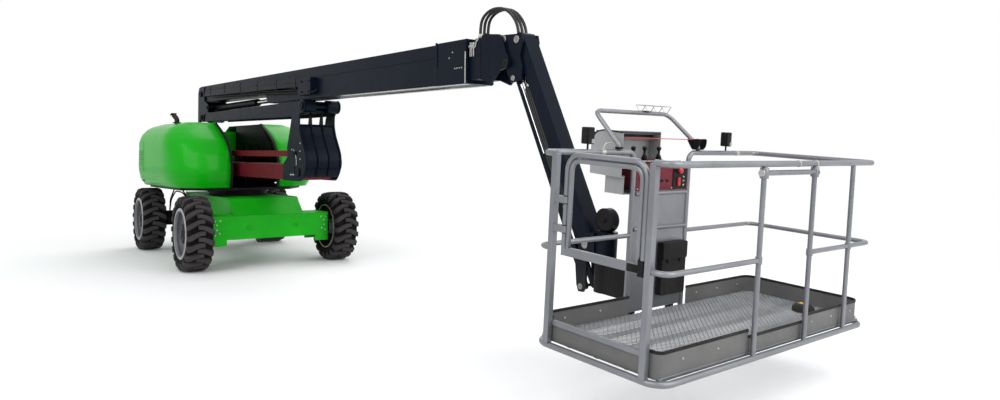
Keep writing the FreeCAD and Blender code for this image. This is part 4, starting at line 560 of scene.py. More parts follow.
# %% Slabs, blocks and bolts
def plate(a, b, radius=0.0):
    """A rectangle between pairs of limits, with rounded corners where a radius is given."""
    corners = [(a[0], b[0]), (a[1], b[0]), (a[1], b[1]), (a[0], b[1])]
    return rounded_way(corners, radius, closed=True) if radius else corners


def add_slab(shape, outline, low, high, axis="y"):
    """An outline of (a, b) pairs given thickness from low to high along an axis."""
    a, b = np.asarray(outline, float).T
    order = {"x": lambda c: (c, a, b), "y": lambda c: (a, c, b), "z": lambda c: (a, b, c)}[axis]
    both = [np.stack(order(np.full_like(a, level)), -1) for level in (low, high)]
    n = len(a)
    area = np.sum(a * np.roll(b, -1) - np.roll(a, -1) * b) * {"x": 1, "y": -1, "z": 1}[axis]
    ring = np.arange(n)
    walls = np.stack([ring, (ring + 1) % n, (ring + 1) % n + n, ring + n], -1).tolist()
    faces = [list(range(n - 1, -1, -1)), list(range(n, 2 * n))] + walls
    if area < 0:
        faces = [face[::-1] for face in faces]
    return shape.loose(np.concatenate(both), faces)


def add_block(shape, x, y, z):
    """A box between pairs of limits, for a piece that a bevel then softens."""
    return add_slab(shape, plate(x, z), *y)


def add_pair(shape, outline, inner, outer):
    """The same slab on both sides, between two distances from the middle plane."""
    for way in (-1, 1):
        add_slab(shape, outline, *sorted((way * inner, way * outer)))


BOLT = [(1.35, 0.0), (1.35, 0.18), (1.0, 0.2), (1.0, 0.85), (0.86, 1.0), (0.05, 1.0)]


def add_bolts(shape, places, direction, radius, height):
    """Hexagon heads with a chamfered top and a washer, standing along a direction at each place."""
    d, around = spokes(direction, 6)
    head = np.concatenate([around * radius * wide + d * height * up for wide, up in BOLT])
    faces = grid_faces(len(BOLT), 6, close_cols=True)[:, ::-1]
    return shape.copies(head[None] + np.asarray(places, float)[:, None], faces)


print("a bolt head has", len(BOLT) * 6, "points")

# %% [markdown]
# ## Tyres
# The tyres are cleated ones for soft ground: twenty deep bars start at each shoulder and end past
# the middle between those of the other side, on a carcass with round sides. A texture can't give
# that outline, so each bar is a surface: a way across the tread, and a section that is wide at
# its foot and narrower on top. A bar of each side is drawn and turned twenty times, and the two
# sides stand half a step apart.

# %% Wheel places and the carcass
WHEELS = {f"{axle}_{side}": (end, sign) for axle, end in (("drive", 1), ("steer", -1))
          for side, sign in (("left", 1), ("right", -1))}
AXLE_AT, HALF_TRACK, TYRE_RADIUS = 1.3715, 1.012, 0.5
TYRE_WIDTH = 0.988


def on_wheel(wheel):
    """From a wheel's own axes, whose Y is its axle pointing outwards, into the frame."""
    end, sign = WHEELS[wheel]

    def place(points):
        """Turned to its side, moved to its axle, and from the chassis's axes into the frame."""
        points = np.asarray(points, float) * [sign, sign, 1]
        return on_chassis(points + [end * AXLE_AT, sign * HALF_TRACK, TYRE_RADIUS])
    return place


def wheel_points(along, radius, angle):
    """Points at a distance along the axle, a radius and an angle: (r sin a, along, r cos a)."""
    along, radius, angle = np.broadcast_arrays(np.asarray(along) * TYRE_WIDTH, radius, angle)
    return np.stack([radius * np.sin(angle), along, radius * np.cos(angle)], -1)


SIDEWALL = [(0.000, 0.4565), (0.060, 0.4562), (0.100, 0.4550), (0.128, 0.4510), (0.146, 0.4450), (0.156, 0.4340),
            (0.163, 0.4200), (0.1665, 0.400), (0.168, 0.396), (0.168, 0.390), (0.166, 0.386), (0.1655, 0.372),
            (0.162, 0.352), (0.158, 0.347), (0.157, 0.341), (0.150, 0.330), (0.138, 0.322), (0.120, 0.3185)]


def carcass():
    """The tyre under its bars: one closed outline turned about the axle."""
    half = np.array(SIDEWALL)
    outline = np.concatenate([half, half[:0:-1] * [-1, 1]])
    return wheel_points(outline[:, :1], outline[:, 1:], full_turn(72)[None])


print("wheels", sorted(WHEELS))

# %% One bar of the tread, and all of them
BARS = 20
BAR_STEP = 2 * math.pi / BARS
BAR_TOP = np.array([(-0.045, 0.5), (0.0, 0.5), (0.045, 0.5), (0.085, 0.4995), (0.122, 0.4975), (0.152, 0.489),
                    (0.168, 0.470), (0.1745, 0.440), (0.1725, 0.405)])


def bar_of_tread(way, roll):
    """One bar of the side called way: foot, side, top and side of its section at each place across.

    It is flat past the middle and swings round the tyre by nearly half a step towards its shoulder.
    """
    along, top = (BAR_TOP * [way, 1])[::way].T
    out = along * way
    depth = np.interp(out, [0.10, 0.15, 0.17, 0.175], [0.045, 0.042, 0.026, 0.014])
    middle = (0.25 * way + roll * np.interp(out, [0.02, 0.16], [0.0, 0.46])) * BAR_STEP
    reach = np.interp(out, [-0.045, 0.03, 0.09, 0.15, 0.175], [0.165, 0.18, 0.215, 0.23, 0.19]) * BAR_STEP
    foot = top - depth - 0.004
    inwards = np.interp(out, [-0.045, 0, 0.15, 0.175], [-0.008, 0, 0.008, 0.016]) * -way
    section = [(foot, 1.2, inwards), (top - depth * 0.25, 1.03, 0), (top, 0.97, 0), (top, -0.97, 0),
               (top - depth * 0.25, -1.03, 0), (foot, -1.2, inwards)]
    return np.stack([wheel_points(along + shift, radius, middle + side * reach)
                     for radius, side, shift in section], 1)


def add_tread(shape, bar):
    """The bar turned to each of its places, with its two ends closed."""
    rows, cols = bar.shape[:2]
    ends = [[0, 1, 2, 5], [2, 3, 4, 5]]
    ends += [[(rows - 1) * cols + i for i in face[::-1]] for face in ends]
    c, s = np.cos(full_turn(BARS))[:, None], np.sin(full_turn(BARS))[:, None]
    x, y, z = bar.reshape(-1, 3).T
    shape.copies(np.stack([c * x + s * z, y + 0 * c, c * z - s * x], -1),
                 np.concatenate([grid_faces(rows, cols, close_cols=True), ends]))


for wheel, (_, sign) in WHEELS.items():
    body, place = f"wheel_{wheel}", on_wheel(wheel)
    casing = Shape().grid(carcass(), close_rows=True, close_cols=True)
    # The carcass under the bars is near-black: painted shade of the grooves.
    piece(f"tyre_{wheel}_casing", casing, body, "tyre_groove", place, smooth=40, merge=1e-5)
    tread = Shape()
    for way in (-1, 1):
        add_tread(tread, bar_of_tread(way, sign))
    piece(f"tyre_{wheel}_tread", tread, body, "tyre", place, bevel=0.004, merge=1e-5,
          instead_of=(f"tyre_{wheel}",))
print("points of one tread", tread.count)

# %% [markdown]
# ## Rims and hubs
# The frame's rims are dished discs with a hub. The eye also looks for the rolled lip, the dark
# inside, the black planetary hub with its ring of bolts, the wheel nuts and the valve.

# %% Lip, dish, liner, hub, nuts and valve
LIP = [(0.128, 0.305), (0.150, 0.305), (0.158, 0.312), (0.162, 0.325), (0.162, 0.336), (0.157, 0.341),
       (0.150, 0.338), (0.152, 0.326), (0.146, 0.318), (0.128, 0.316)]
DISH = [(0.026, 0.150), (0.030, 0.19), (0.034, 0.235), (0.046, 0.262), (0.060, 0.280), (0.070, 0.296),
        (0.080, 0.3035), (0.130, 0.3038)]
LINER = [(-0.156, 0.3035), (-0.10, 0.302), (-0.02, 0.300), (0.000, 0.292), (0.008, 0.27), (0.0085, 0.125)]
HUB = [(0.026, 0.168), (0.034, 0.168), (0.038, 0.160), (0.040, 0.142), (0.070, 0.136), (0.100, 0.131),
       (0.118, 0.126), (0.130, 0.112), (0.138, 0.088), (0.139, 0.052), (0.148, 0.048), (0.150, 0.002)]
# The dish's darker grey is partly painted shade.
RIM = (("lip", LIP, "rim_silver"), ("dish", DISH, "dish_grey"), ("liner", LINER, "rim_dark"))
HUB_BOLTS = ((0.122, 0.117, full_turn(12), 0.010, 0.012), (0.1375, 0.068, full_turn(6) + 0.3, 0.008, 0.009))
ORIGIN, AXLE = (0, 0, 0), (0, 1, 0)
for wheel in WHEELS:
    body, place = f"wheel_{wheel}", on_wheel(wheel)
    for part, profile, look in RIM:
        rim = add_turned(Shape(), profile, ORIGIN, AXLE, 64, closed=part == "lip")
        piece(f"rim_{wheel}_{part}", rim, body, look, place, smooth=50)
    hub = add_turned(Shape(), HUB, ORIGIN, AXLE, 48)
    for along, ring, angles, radius, height in HUB_BOLTS:
        add_bolts(hub, wheel_points(along, ring, angles), AXLE, radius, height)
    piece(f"hub_{wheel}", hub, body, "hub_black", place, smooth=40)
    nuts = Shape()
    add_bolts(nuts, wheel_points(0.028, 0.190, full_turn(10)), AXLE, 0.013, 0.024)
    add_tube(nuts, wheel_points([0.04, 0.075, 0.098], [0.262, 0.266, 0.268], 0.4), 0.006, 8)
    piece(f"nuts_{wheel}", nuts, body, "zinc", place, smooth=40)
print("points of one hub", hub.count)

# %% [markdown]
# ## Moulded covers
# The two covers are thin shells with one generous nose each. A shell like that is a stack of
# plan outlines: every outline is a quarter of a superellipse at the nose, a straight side and a
# tighter quarter at the rear, and the stack draws in smoothly towards the top and the skirt.

# %% Plan outlines of a cover
COVER_INNER, COVER_WIDTH = 0.353, 0.777
NOSE_STEPS, REAR_STEPS, SIDE_STEPS = 26, 18, 12
HEIGHTS = np.concatenate([np.linspace(1.0625, 1.16, 7), np.linspace(1.19, 1.7, 15),
                          np.linspace(1.72, 2.0345, 24)])


def eased(height, heights, values, blur=0.05):
    """Values between given heights, joined by straight lines and then averaged over a short span."""
    around = np.linspace(-blur, blur, 15)
    return np.mean([np.interp(height + step, heights, values) for step in around], axis=0)


def quarter(steps, power, x_from, x_reach, width):
    """A quarter of a superellipse: x from + reach cos^(2/p) t and y inner + width sin^(2/p) t."""
    t = np.linspace(0, math.pi / 2, steps)[None]
    return (x_from + x_reach * np.cos(t) ** (2 / power), COVER_INNER + width * np.sin(t) ** (2 / power))


def cover_outline(height):
    """Plan outlines at given heights: nose quarter, side and rear quarter, as rows of points."""
    z = np.asarray(height)[:, None]
    nose = eased(z, [1.06, 1.32, 1.57, 1.76, 1.91, 2.03], [0.05, 0.0, 0.07, 0.23, 0.48, 0.74])
    skirt = eased(z, [1.06, 1.15, 1.3, 1.73, 1.85, 1.95, 2.01, 2.035],
                  [0.10, 0.035, 0.0, 0.0, 0.04, 0.13, 0.26, 0.42], 0.03)
    rear = eased(z, [1.06, 1.12, 1.77, 1.95, 2.03], [0.03, 0.0, 0.0, 0.09, 0.32])
    front_x, front_y = quarter(NOSE_STEPS, 2.7, -0.1, 0.82 - nose, COVER_WIDTH - skirt)
    back = quarter(REAR_STEPS, 2.3, -1.2, rear - 0.5, COVER_WIDTH - skirt)
    back_x, back_y = (part[:, ::-1] for part in back)
    side_x = np.linspace(front_x[:, -1], back_x[:, 0], SIDE_STEPS, axis=1)[:, 1:-1]
    side_y = np.repeat(front_y[:, -1:], SIDE_STEPS - 2, axis=1)
    x = np.concatenate([front_x, side_x, back_x], 1)
    y = np.concatenate([front_y, side_y, back_y], 1)
    return np.stack([x, y, z + 0 * x], -1)


def on_cover(places, lift=0.0):
    """Points of the cover's skin at given (x, z) places behind its nose, lifted a little off it."""
    places = np.asarray(places, float)
    rows = cover_outline(places[:, 1])[:, NOSE_STEPS:]
    skin = [np.interp(-x, -row[:, 0], row[:, 1]) for x, row in zip(places[:, 0], rows)]
    return np.stack([places[:, 0], np.array(skin) + lift, places[:, 1]], -1)


def level_line(start, end, count, height, lift=0.0):
    """A level line on the cover's skin."""
    across = np.linspace(start, end, count)
    return on_cover(np.stack([across, 0 * across + height], -1), lift)


print("rows, points and axes of a cover", cover_outline(HEIGHTS).shape)

# %% Both covers
SIDES = (("left", [1, 1, 1]), ("right", [1, -1, 1]))
stack = cover_outline(HEIGHTS)
for side, mirror in SIDES:
    cover = Shape().grid(stack * mirror)
    cover.loose(stack[-1] * mirror, [list(range(stack.shape[1]))])
    piece(f"cover_{side}", cover, f"hood_{side}", "hood_green", merge=1e-5, smooth=28, wall=0.006,
          instead_of=(f"hood_{side}",))
print("points of a cover", cover.count)

# %% Trims, beads, louvres and latches of the covers
TRIM = [(-0.02, -0.011), (0.02, -0.011), (0.024, 0.0), (0.02, 0.011), (-0.02, 0.011), (-0.024, 0)]
BEADS = [([(-1.46, 1.52), (-1.46, 1.175), (-0.42, 1.16)], 0.0055),
         ([(-1.40, 1.74), (-1.0, 1.74), (-0.98, 1.28)], 0.004)]
LOUVRES = [(-1.38, -1.22), (-1.19, -1.05)]
for side, mirror in SIDES:
    body = f"hood_{side}"
    trim = Shape().grid(swept((stack[:, 0] - [0.006, -0.004, 0]) * mirror, TRIM), close_cols=True)
    piece(f"cover_{side}_trim", trim, body, "rubber", smooth=50)
    beads, dark = Shape(), Shape()
    for way, radius in BEADS:
        add_tube(beads, on_cover(smooth_line(way, 60)) * mirror, radius, 8)
    for start, end in LOUVRES:
        blades = [level_line(start, end, 9, z) * mirror for z in np.linspace(1.36, 1.60, 7)]
        # The slots between the blades are black tubes sunk just under the skin: painted shade of the louvre
        # openings.
        slots = [level_line(start, end, 9, z, -0.002) * mirror for z in np.linspace(1.38, 1.58, 6)]
        add_tubes(beads, blades, 0.0055, 8)
        add_tubes(dark, slots, 0.005, 8)
    piece(f"cover_{side}_beads", beads, body, "hood_green", smooth=60)
    add_tube(dark, level_line(-1.20, -1.12, 7, 1.13, 0.004) * mirror, 0.011, 12)
    # This piece holds the louvres' painted slot shade and the black bar below them.
    piece(f"cover_{side}_vents", dark, body, "black_plastic", bevel=0.001)
print("points of one cover's beads", beads.count)

# %% [markdown]
# ## Exhaust, slewing ring and tunnel
# A bent exhaust tip with a rain flap stands on the right cover. Under the turntable the slewing
# ring shows its circle of bolt heads, and ribs stand on the walls of the tunnel that the arms
# fold into.

# %% Exhaust tip, ring bolts, tunnel ribs
EXHAUST = (-0.56, -0.76)
BOLT_RING, BOLT_LEVEL = 0.405, 0.9305
TUNNEL_WALL, RIB_TOP, RIB_SLOPE = 0.343, 1.72, 0.9
tip = Shape()
add_tube(tip, rounded_way([(*EXHAUST, 2.02), (*EXHAUST, 2.10), (-0.60, -0.80, 2.16)], 0.05), 0.036, 20)
add_turned(tip, [(0, 0.052), (0.006, 0.060), (0.014, 0.060), (0.018, 0.05)], (*EXHAUST, 2.034), (0, 0, 1), 32)
add_slab(tip, [(-0.645, 2.162), (-0.56, 2.19), (-0.558, 2.183), (-0.643, 2.155)], -0.845, -0.765)
piece("exhaust_tip", tip, "hood_right", "exhaust_steel", smooth=40, instead_of=("exhaust_outlet",))
ring = Shape()
angle = full_turn(30)
heads = np.stack([BOLT_RING * np.cos(angle), BOLT_RING * np.sin(angle), 0 * angle + BOLT_LEVEL], -1)
add_bolts(ring, heads, (0, 0, 1), 0.012, 0.012)
add_turned(ring, [(0.0, 0.455), (0.03, 0.455), (0.034, 0.45), (0.034, 0.43), (0.0, 0.43)], (0, 0, 0.975),
           (0, 0, 1), 90, closed=True)
piece("slew_ring_bolts", ring, "chassis", "black_paint", place=as_is, smooth=40)
walls = Shape()
for x in (-0.75, -0.42, -0.1, 0.2):
    top = RIB_TOP - max(0, x) * RIB_SLOPE
    add_pair(walls, plate((x, x + 0.03), (1.08, top)), TUNNEL_WALL * 0.965, TUNNEL_WALL)
piece("tunnel_ribs", walls, "turntable", "black_paint", bevel=0.004)
print("ring bolts", len(heads))

# %% [markdown]
# ## Link between the arms
# The big link is two profiled plates with one rolled plate between them, which swells into a
# round belly and rises into a thin sheet with two windows. Two webs stand on edge in it, and the
# tube of the upper pin closes it. The rolled plate is a smooth curve swept across the width.

# %% Side plates, rolled plate, webs and pin tubes
REAR = [(2.73, 2.23), (2.50, 2.06), (2.44, 1.85), (2.36, 1.65), (2.39, 1.53), (2.25, 1.44), (2.24, 1.22)]
FRONT = [(2.78, 1.22), (2.87, 1.32), (2.925, 1.43), (2.90, 1.57), (2.83, 1.69), (2.76, 1.80), (2.715, 1.93),
         (2.72, 2.07), (2.80, 2.10)]
FOOT = [(2.27, 1.26), (2.60, 1.26), (2.62, 1.40), (2.42, 1.44), (2.27, 1.40)]
ROLLED = [(2.825, 1.268), (2.862, 1.318), (2.905, 1.41), (2.91, 1.50), (2.87, 1.60), (2.80, 1.71),
          (2.735, 1.82), (2.70, 1.93)]
WEB_BACK = [(2.70, 2.16), (2.64, 2.02), (2.60, 1.85), (2.68, 1.6), (2.83, 1.42), (2.845, 1.30)]
LINK_IN, LINK_OUT, WEB_AT = 0.23, 0.25, 0.076
UPPER_PIN, LOWER_PIN = (2.79, 2.17), (2.71, 1.33)
link = Shape()
add_pair(link, rounded_way(REAR + FRONT, 0.05, closed=True), LINK_IN, LINK_OUT)
add_pair(link, rounded_way(FOOT, 0.04, closed=True), LINK_OUT, LINK_OUT + 0.006)
web_front = smooth_line([(x + 0.028, z - 0.004) for x, z in ROLLED] + [(2.712, 2.06), (2.78, 2.11)], 40)
add_pair(link, list(web_front) + WEB_BACK, WEB_AT - 0.006, WEB_AT + 0.006)
piece("link_plates", link, "knuckle", "boom_paint", bevel=0.0025, instead_of=("knuckle_link",))
line, across = smooth_line(ROLLED, 36), np.linspace(0.2305, -0.2305, 25)
sheet = np.stack(np.broadcast_arrays(line[:, None, 0], across[None], line[:, None, 1]), -1)
piece("link_belly", Shape().grid(sheet), "knuckle", "boom_paint", wall=0.012, merge=1e-6)
ledges, tubes, marks = Shape(), Shape(), Shape()
BAYS = ((-0.222, -0.09), (-0.064, 0.064), (0.09, 0.222))
for x, z, radius in ((2.893, 1.368, 0.0085), (2.705, 1.935, 0.009)):
    add_tubes(ledges, [[(x, low, z), (x, high, z)] for low, high in BAYS], radius, 8)
piece("link_ledges", ledges, "knuckle", "boom_paint", smooth=60)
for low, high in ((-0.2505, -0.236), (0.236, 0.2505)):
    add_turned(tubes, [(low, 0.03), (low, 0.085), (high, 0.085), (high, 0.03)], (2.79, 0, 2.17), (0, 1, 0), 56,
               closed=True)
for (x, z), radius, reach in ((UPPER_PIN, 0.0298, LINK_OUT), (LOWER_PIN, 0.0378, LINK_OUT),
                              ((2.61, 1.57), 0.0198, LINK_OUT), ((2.74, 2.11), 0.011, 0.08)):
    add_tube(tubes, [(x, -reach, z), (x, reach, z)], radius, 28)
piece("link_tubes", tubes, "knuckle", "boom_paint", smooth=50)
add_bolts(marks, [(2.5 + 0.045 * k, -0.256, 1.30) for k in range(3)], (0, -1, 0), 0.009, 0.008)
places = [(2.76, -0.25, z) for z in (1.50, 1.60, 1.70)] + [(2.52, -0.25, 1.62)]
add_bolts(marks, places, (0, -1, 0), 0.008, 0.007)
pipe = [(2.58, -0.253, 1.62), (2.66, -0.254, 1.52), (2.66, -0.254, 1.42)]
add_tube(marks, rounded_way(pipe, 0.05), 0.0045, 8)
piece("link_marks", marks, "knuckle", "zinc", smooth=45)
print("points of the link's plates", link.count)

# %% [markdown]
# ## Running gear trim
# The drive beam carries the wheel drives on rings of bolts that show on its face, and a round
# plug closes each of its service holes. Weld seams run along the frame's folds, and two pairs of
# hoses bend down to the steered axle.

# %% Bolts and plugs on the beam, welds, drive housing, steering hoses
BEAM_FACE, DRIVE_RING, SEAM = 1.5805, 0.10, 0.49
PLUG = [(0.0, 0.026), (0.006, 0.03), (0.012, 0.026), (0.012, 0.012), (0.004, 0.01), (0.004, 0.0005)]
DRIVE = [(-0.1, 0.0005), (-0.1, 0.13), (-0.085, 0.155), (0.02, 0.16), (0.05, 0.14), (0.09, 0.09),
         (0.1, 0.0005)]
plugs, steel, seams, hoses = Shape(), Shape(), Shape(), Shape()
for way in (-1, 1):
    turn = np.radians([60, 20, -20, -55])
    drive_bolts = np.stack([0 * turn + BEAM_FACE, way * (0.66 + DRIVE_RING * np.cos(turn)),
                            0.575 + DRIVE_RING * np.sin(turn)], -1)
    add_bolts(steel, drive_bolts, (1, 0, 0), 0.009, 0.007)
    add_bolts(steel, [(BEAM_FACE, way * 0.775, z) for z in (0.66, 0.47)], (1, 0, 0), 0.008, 0.006)
    add_turned(plugs, PLUG, (BEAM_FACE, way * 0.33, 0.56), (1, 0, 0), 28)
    y = way * SEAM
    add_tubes(seams, [[(-1.18, y, 0.9315), (1.185, y, 0.9315)], [(1.205, y, 0.926), (1.365, y, 0.735)]], 0.006, 8)
    for lift, out in ((0.0, 0.0), (0.05, 0.06)):
        bend = [(-1.12, way * 0.47, 0.80), (-1.20, way * 0.55, 0.92 + lift),
                (-1.33 - out, way * 0.62, 0.94 + lift), (-1.37 - out, way * 0.68, 0.80),
                (-1.37, way * 0.70, 0.62)]
        add_tube(hoses, smooth_line(bend, 30), 0.011, 10)
add_tube(seams, [(1.372, -0.8, 0.727), (1.372, 0.8, 0.727)], 0.006, 8)
add_tube(seams, [(1.5815, -0.80, 0.7225), (1.5815, 0.80, 0.7225)], 0.005, 8)
piece("beam_bolts", steel, "chassis", "zinc", smooth=45)
piece("beam_plugs", plugs, "chassis", "green_paint", smooth=45)
piece("chassis_welds", seams, "chassis", "green_paint", smooth=60)
box = add_turned(Shape(), DRIVE, (1.35, 0, 0.47), (0, 0, -1), 48)
piece("drive_housing", box, "chassis", "black_paint", smooth=40)
piece("steer_hoses", hoses, "chassis", "hose_rubber", smooth=60)
print("points of the beam's bolts", steel.count)

# %% [markdown]
# ## Hoses over the boom's head
# Three hoses carry oil and wires past the pin where the jib turns. They stand in a clamp on the
# boom and arch over in a wide free loop, because a hose that bends too tightly fails. Each is a
# smooth curve through a few widely spaced control points.

# %% Three free hoses
HOSE_POINTS = [(7.3886, 0.134), (7.3886, 0.2593), (7.4264, 0.3366), (7.52, 0.3854), (7.6389, 0.3933),
               (7.7512, 0.3652), (7.8397, 0.3019), (7.8954, 0.2283), (7.9193, 0.1654), (7.9263, 0.1188)]
HOSE_AT = (-0.045, 0.0, 0.045)
for number, y in enumerate(HOSE_AT):
    line = bpy.data.curves.new(f"head_hose_{number}", "CURVE")
    line.dimensions, line.bevel_depth, line.bevel_resolution, line.use_fill_caps = "3D", 0.014, 4, True
    spline = line.splines.new("NURBS")
    way = on_boom([(x, y, z) for x, z in HOSE_POINTS])
    spline.points.add(len(way) - 1)
    spline.points.foreach_set("co", np.hstack([way, np.ones((len(way), 1))]).ravel())
    spline.order_u, spline.use_endpoint_u, spline.resolution_u = 3, True, 10
    line.materials.append(finish["hose_rubber"])
    hose = bpy.data.objects.new(f"head_hose_{number}", line)
    bpy.context.scene.collection.objects.link(hose)
    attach(hose, "boom_inner")
    if number == 0:
        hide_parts("head_hoses")
print("hoses", len(HOSE_AT))

# %% [markdown]
# ## Boom section
# The outer boom is folded from two plates that overlap along the sides, so an upper band stands
# out over a shadow line. The collar in front is a bolted sleeve with a slanted edge, and a bright
# strip shows where the inner boom slides. The hose tray is strapped on, its end is bolted.

# %% Bands, collar plates and bright strips
BAND_IN, BAND_OUT, SLEEVE_IN, SLEEVE_OUT = 0.1502, 0.155, 0.1602, 0.1655
LOWER_BAND = [(2.76, -0.2635), (6.832, -0.2635), (6.832, -0.03), (2.66, -0.03), (2.66, -0.14)]
SLEEVE = [(6.835, 0.137), (7.325, 0.137), (7.325, -0.2735), (7.03, -0.2735), (6.87, -0.16), (6.835, -0.155)]
SLEEVE_BOLTS = [(7.12, 0.03), (7.07, -0.02), (7.16, -0.125), (7.195, -0.125), (7.23, -0.125), (7.265, -0.125)]
bands, sleeve, bright = Shape(), Shape(), Shape()
add_pair(bands, plate((0.12, 6.832), (-0.002, 0.1275)), BAND_IN, BAND_OUT)
add_pair(bands, LOWER_BAND, BAND_IN, BAND_OUT)
piece("boom_bands", bands, "boom", "boom_paint", bevel=0.003)
add_pair(sleeve, SLEEVE, SLEEVE_IN, SLEEVE_OUT)
add_pair(sleeve, plate((6.845, 6.875), (-0.10, 0.145)), SLEEVE_OUT, 0.172)
piece("boom_sleeve", sleeve, "boom", "boom_paint", bevel=0.003)
for way in (-1, 1):
    add_bolts(bright, [(x, way * SLEEVE_OUT, z) for x, z in SLEEVE_BOLTS], (0, way, 0), 0.006, 0.005)
add_pair(bright, plate((7.316, 7.33), (-0.272, 0.02)), SLEEVE_OUT, 0.1705)
add_pair(bright, [(4.9, -0.268), (7.32, -0.2795), (7.32, -0.2745), (4.9, -0.2638)], 0.10, 0.158)
piece("boom_bright_strips", bright, "boom", "zinc")
print("points of the bright strips", bright.count)


# %% Tray straps and hoses, fittings on the head
def tray_top(x):
    """The tray's upper edge, a straight line that falls by 0.111 m in 3.52 m."""
    return 0.103 - (x - 0.42) / 3.52 * 0.111


COLLAR = [(0.0, 0.019), (0.004, 0.021), (0.02, 0.021), (0.022, 0.0175), (0.04, 0.0165), (0.042, 0.0145)]
tray, pipes, bridge = Shape(), Shape(), Shape()
for x in (0.62, 1.25, 1.9, 2.55, 3.2, 3.8):
    add_block(tray, (x, x + 0.03), (-0.2385, -0.1505), (tray_top(x) - 0.13, tray_top(x) + 0.005))
add_slab(tray, [(0.4, 0.06), (0.4, 0.045), (3.9, -0.055), (3.9, -0.04)], -0.2385, -0.234)
add_bolts(tray, [(x, -0.235, z) for x in (4.0, 4.2) for z in (-0.05, -0.18)], (0, -1, 0), 0.013, 0.012)
end = [(4.23, -0.225, -0.19), (4.28, -0.2, -0.19), (4.30, -0.165, -0.16)]
add_tube(tray, rounded_way(end, 0.03), 0.014, 12)
for z in (-0.06, -0.095, -0.13):
    lie = [(0.45, -0.2, z + 0.06), (1.6, -0.2, z + 0.03), (3.85, -0.2, z - 0.05)]
    add_tube(tray, rounded_way(lie, 0.3), 0.011, 10)
piece("hose_tray_straps", tray, "boom", "black_paint", smooth=45)
for y in HOSE_AT:
    add_turned(pipes, COLLAR, (HOSE_POINTS[0][0], y, 0.1435), (0, 0, 1), 24)
for x, z in ((0.0, 0.05), (0.02, 0.085)):
    rise = [(7.345, -0.131, z), (7.43, -0.136, z), (7.45 + x, -0.136, 0.12)]
    add_tube(pipes, rounded_way(rise, 0.02), 0.006, 10)
    add_bolts(pipes, [(7.37 + 1.5 * x, -0.131, z)], (0, -1, 0), 0.011, 0.012)
add_tubes(pipes, [[(x, -0.139, -0.03), (x, -0.139, 0.10)] for x in (7.36, 7.385, 7.41)], 0.0055, 10)
add_block(pipes, (7.34, 7.425), (-0.147, -0.131), (0.055, 0.075))
piece("hose_fittings", pipes, "boom_inner", "zinc", smooth=45)
over = [(7.43, -0.06, 0.10), (7.44, -0.062, 0.155), (7.50, -0.066, 0.175), (7.55, -0.07, 0.14)]
add_tube(bridge, rounded_way(over, 0.035), 0.012, 12)
piece("head_link_hose", bridge, "boom_inner", "hose_rubber", smooth=60)
print("points of the tray's straps", tray.count)

# %% [markdown]
# ## Pins of the arms
# Every pin ends in a turned head with a keeper plate, which stops it from turning or walking out.
# One profile turned about the pin's axis serves them all; only place, size and body differ.

# %% Pin heads
PINS = [
    ("knuckle", "black_paint", 0.258, [(2.79, 2.17, 0.055), (2.71, 1.33, 0.055), (2.61, 1.57, 0.032)]),
    ("upright", "black_paint", 0.185, [(-1.25, 2.56, 0.05), (-1.22, 2.17, 0.045)]),
    ("upright", "black_paint", 0.175, [(-0.95, 2.318, 0.035), (-1.27, 2.11, 0.03)]),
    ("boom_inner", "black_paint", 0.133, [(6.61, 2.37, 0.036)]),
    ("jib_bracket", "bare_steel", 0.10, [(6.715, 2.565, 0.034), (6.54, 2.587, 0.034), (6.67, 2.235, 0.024)]),
    ("jib_head", "bare_steel", 0.10, [(7.5259, 0.88, 0.032), (7.4809, 0.55, 0.024)]),
]
PIN_FACE = [(0.0, 1), (0.007, 1), (0.01, 0.92), (0.01, 0.6), (0.006, 0.55), (0.006, 0.22), (0.011, 0.18)]
for number, (body, look, reach, places) in enumerate(PINS):
    heads = Shape()
    for x, z, radius in places:
        rim = [(along, radius * part) for along, part in PIN_FACE] + [(0.012, 0.0004)]
        for way in (-1, 1):
            add_turned(heads, rim, (x, way * reach, z), (0, way, 0), 32)
    piece(f"pin_heads_{number}", heads, body, look, as_is, smooth=40)
print("sets of pin heads", len(PINS))

# %% [markdown]
# ## Jib
# The jib's cylinder has a bright gland nut and a hard pipe along its barrel, and hoses run beside
# it in the gap between the jib and its tie. Doubling plates stiffen both ends of the jib.

# %% Jib dressing
JIB_PIN, JIB_WAY = np.array([6.715, 0.0, 2.565]), math.radians(64.3)
BARREL_PIN, BARREL_END = np.array([7.108, 0.0, 1.494]), np.array([6.722, 0.0, 2.25])
GLAND = [(0.655, 0.0345), (0.657, 0.0385), (0.70, 0.0385), (0.703, 0.0365), (0.724, 0.0365), (0.726, 0.0225)]
LOWER_DOUBLING = [(1.46, -0.062), (1.7, -0.066), (1.8, -0.03), (1.8, 0.03), (1.7, 0.064), (1.60, 0.064),
                  (1.52, 0.02)]
UPPER_DOUBLING = [(0.02, -0.066), (0.22, -0.066), (0.3, 0.0), (0.22, 0.064), (0.02, 0.064)]
GUARD = [(0.0, 0.093), (0.004, 0.093), (0.008, 0.088), (0.008, 0.06), (0.004, 0.055), (0.004, 0.02),
         (0.012, 0.016), (0.014, 0.0005)]
NUT = [(0.36, 0.0065), (0.362, 0.0105), (0.40, 0.0105), (0.402, 0.0065)]
LONG, JIB_SIDE = (1, 0, 0), 0.0752


def on_jib(points):
    """From the jib's axes, X from its upper to its lower pin, into the frame."""
    return turned(points, "y", JIB_WAY) + JIB_PIN


def on_barrel(points):
    """From the jib cylinder's axes, X from its foot pin to its eye, into the frame."""
    way = BARREL_END - BARREL_PIN
    return turned(points, "y", math.atan2(-way[2], way[0])) + BARREL_PIN


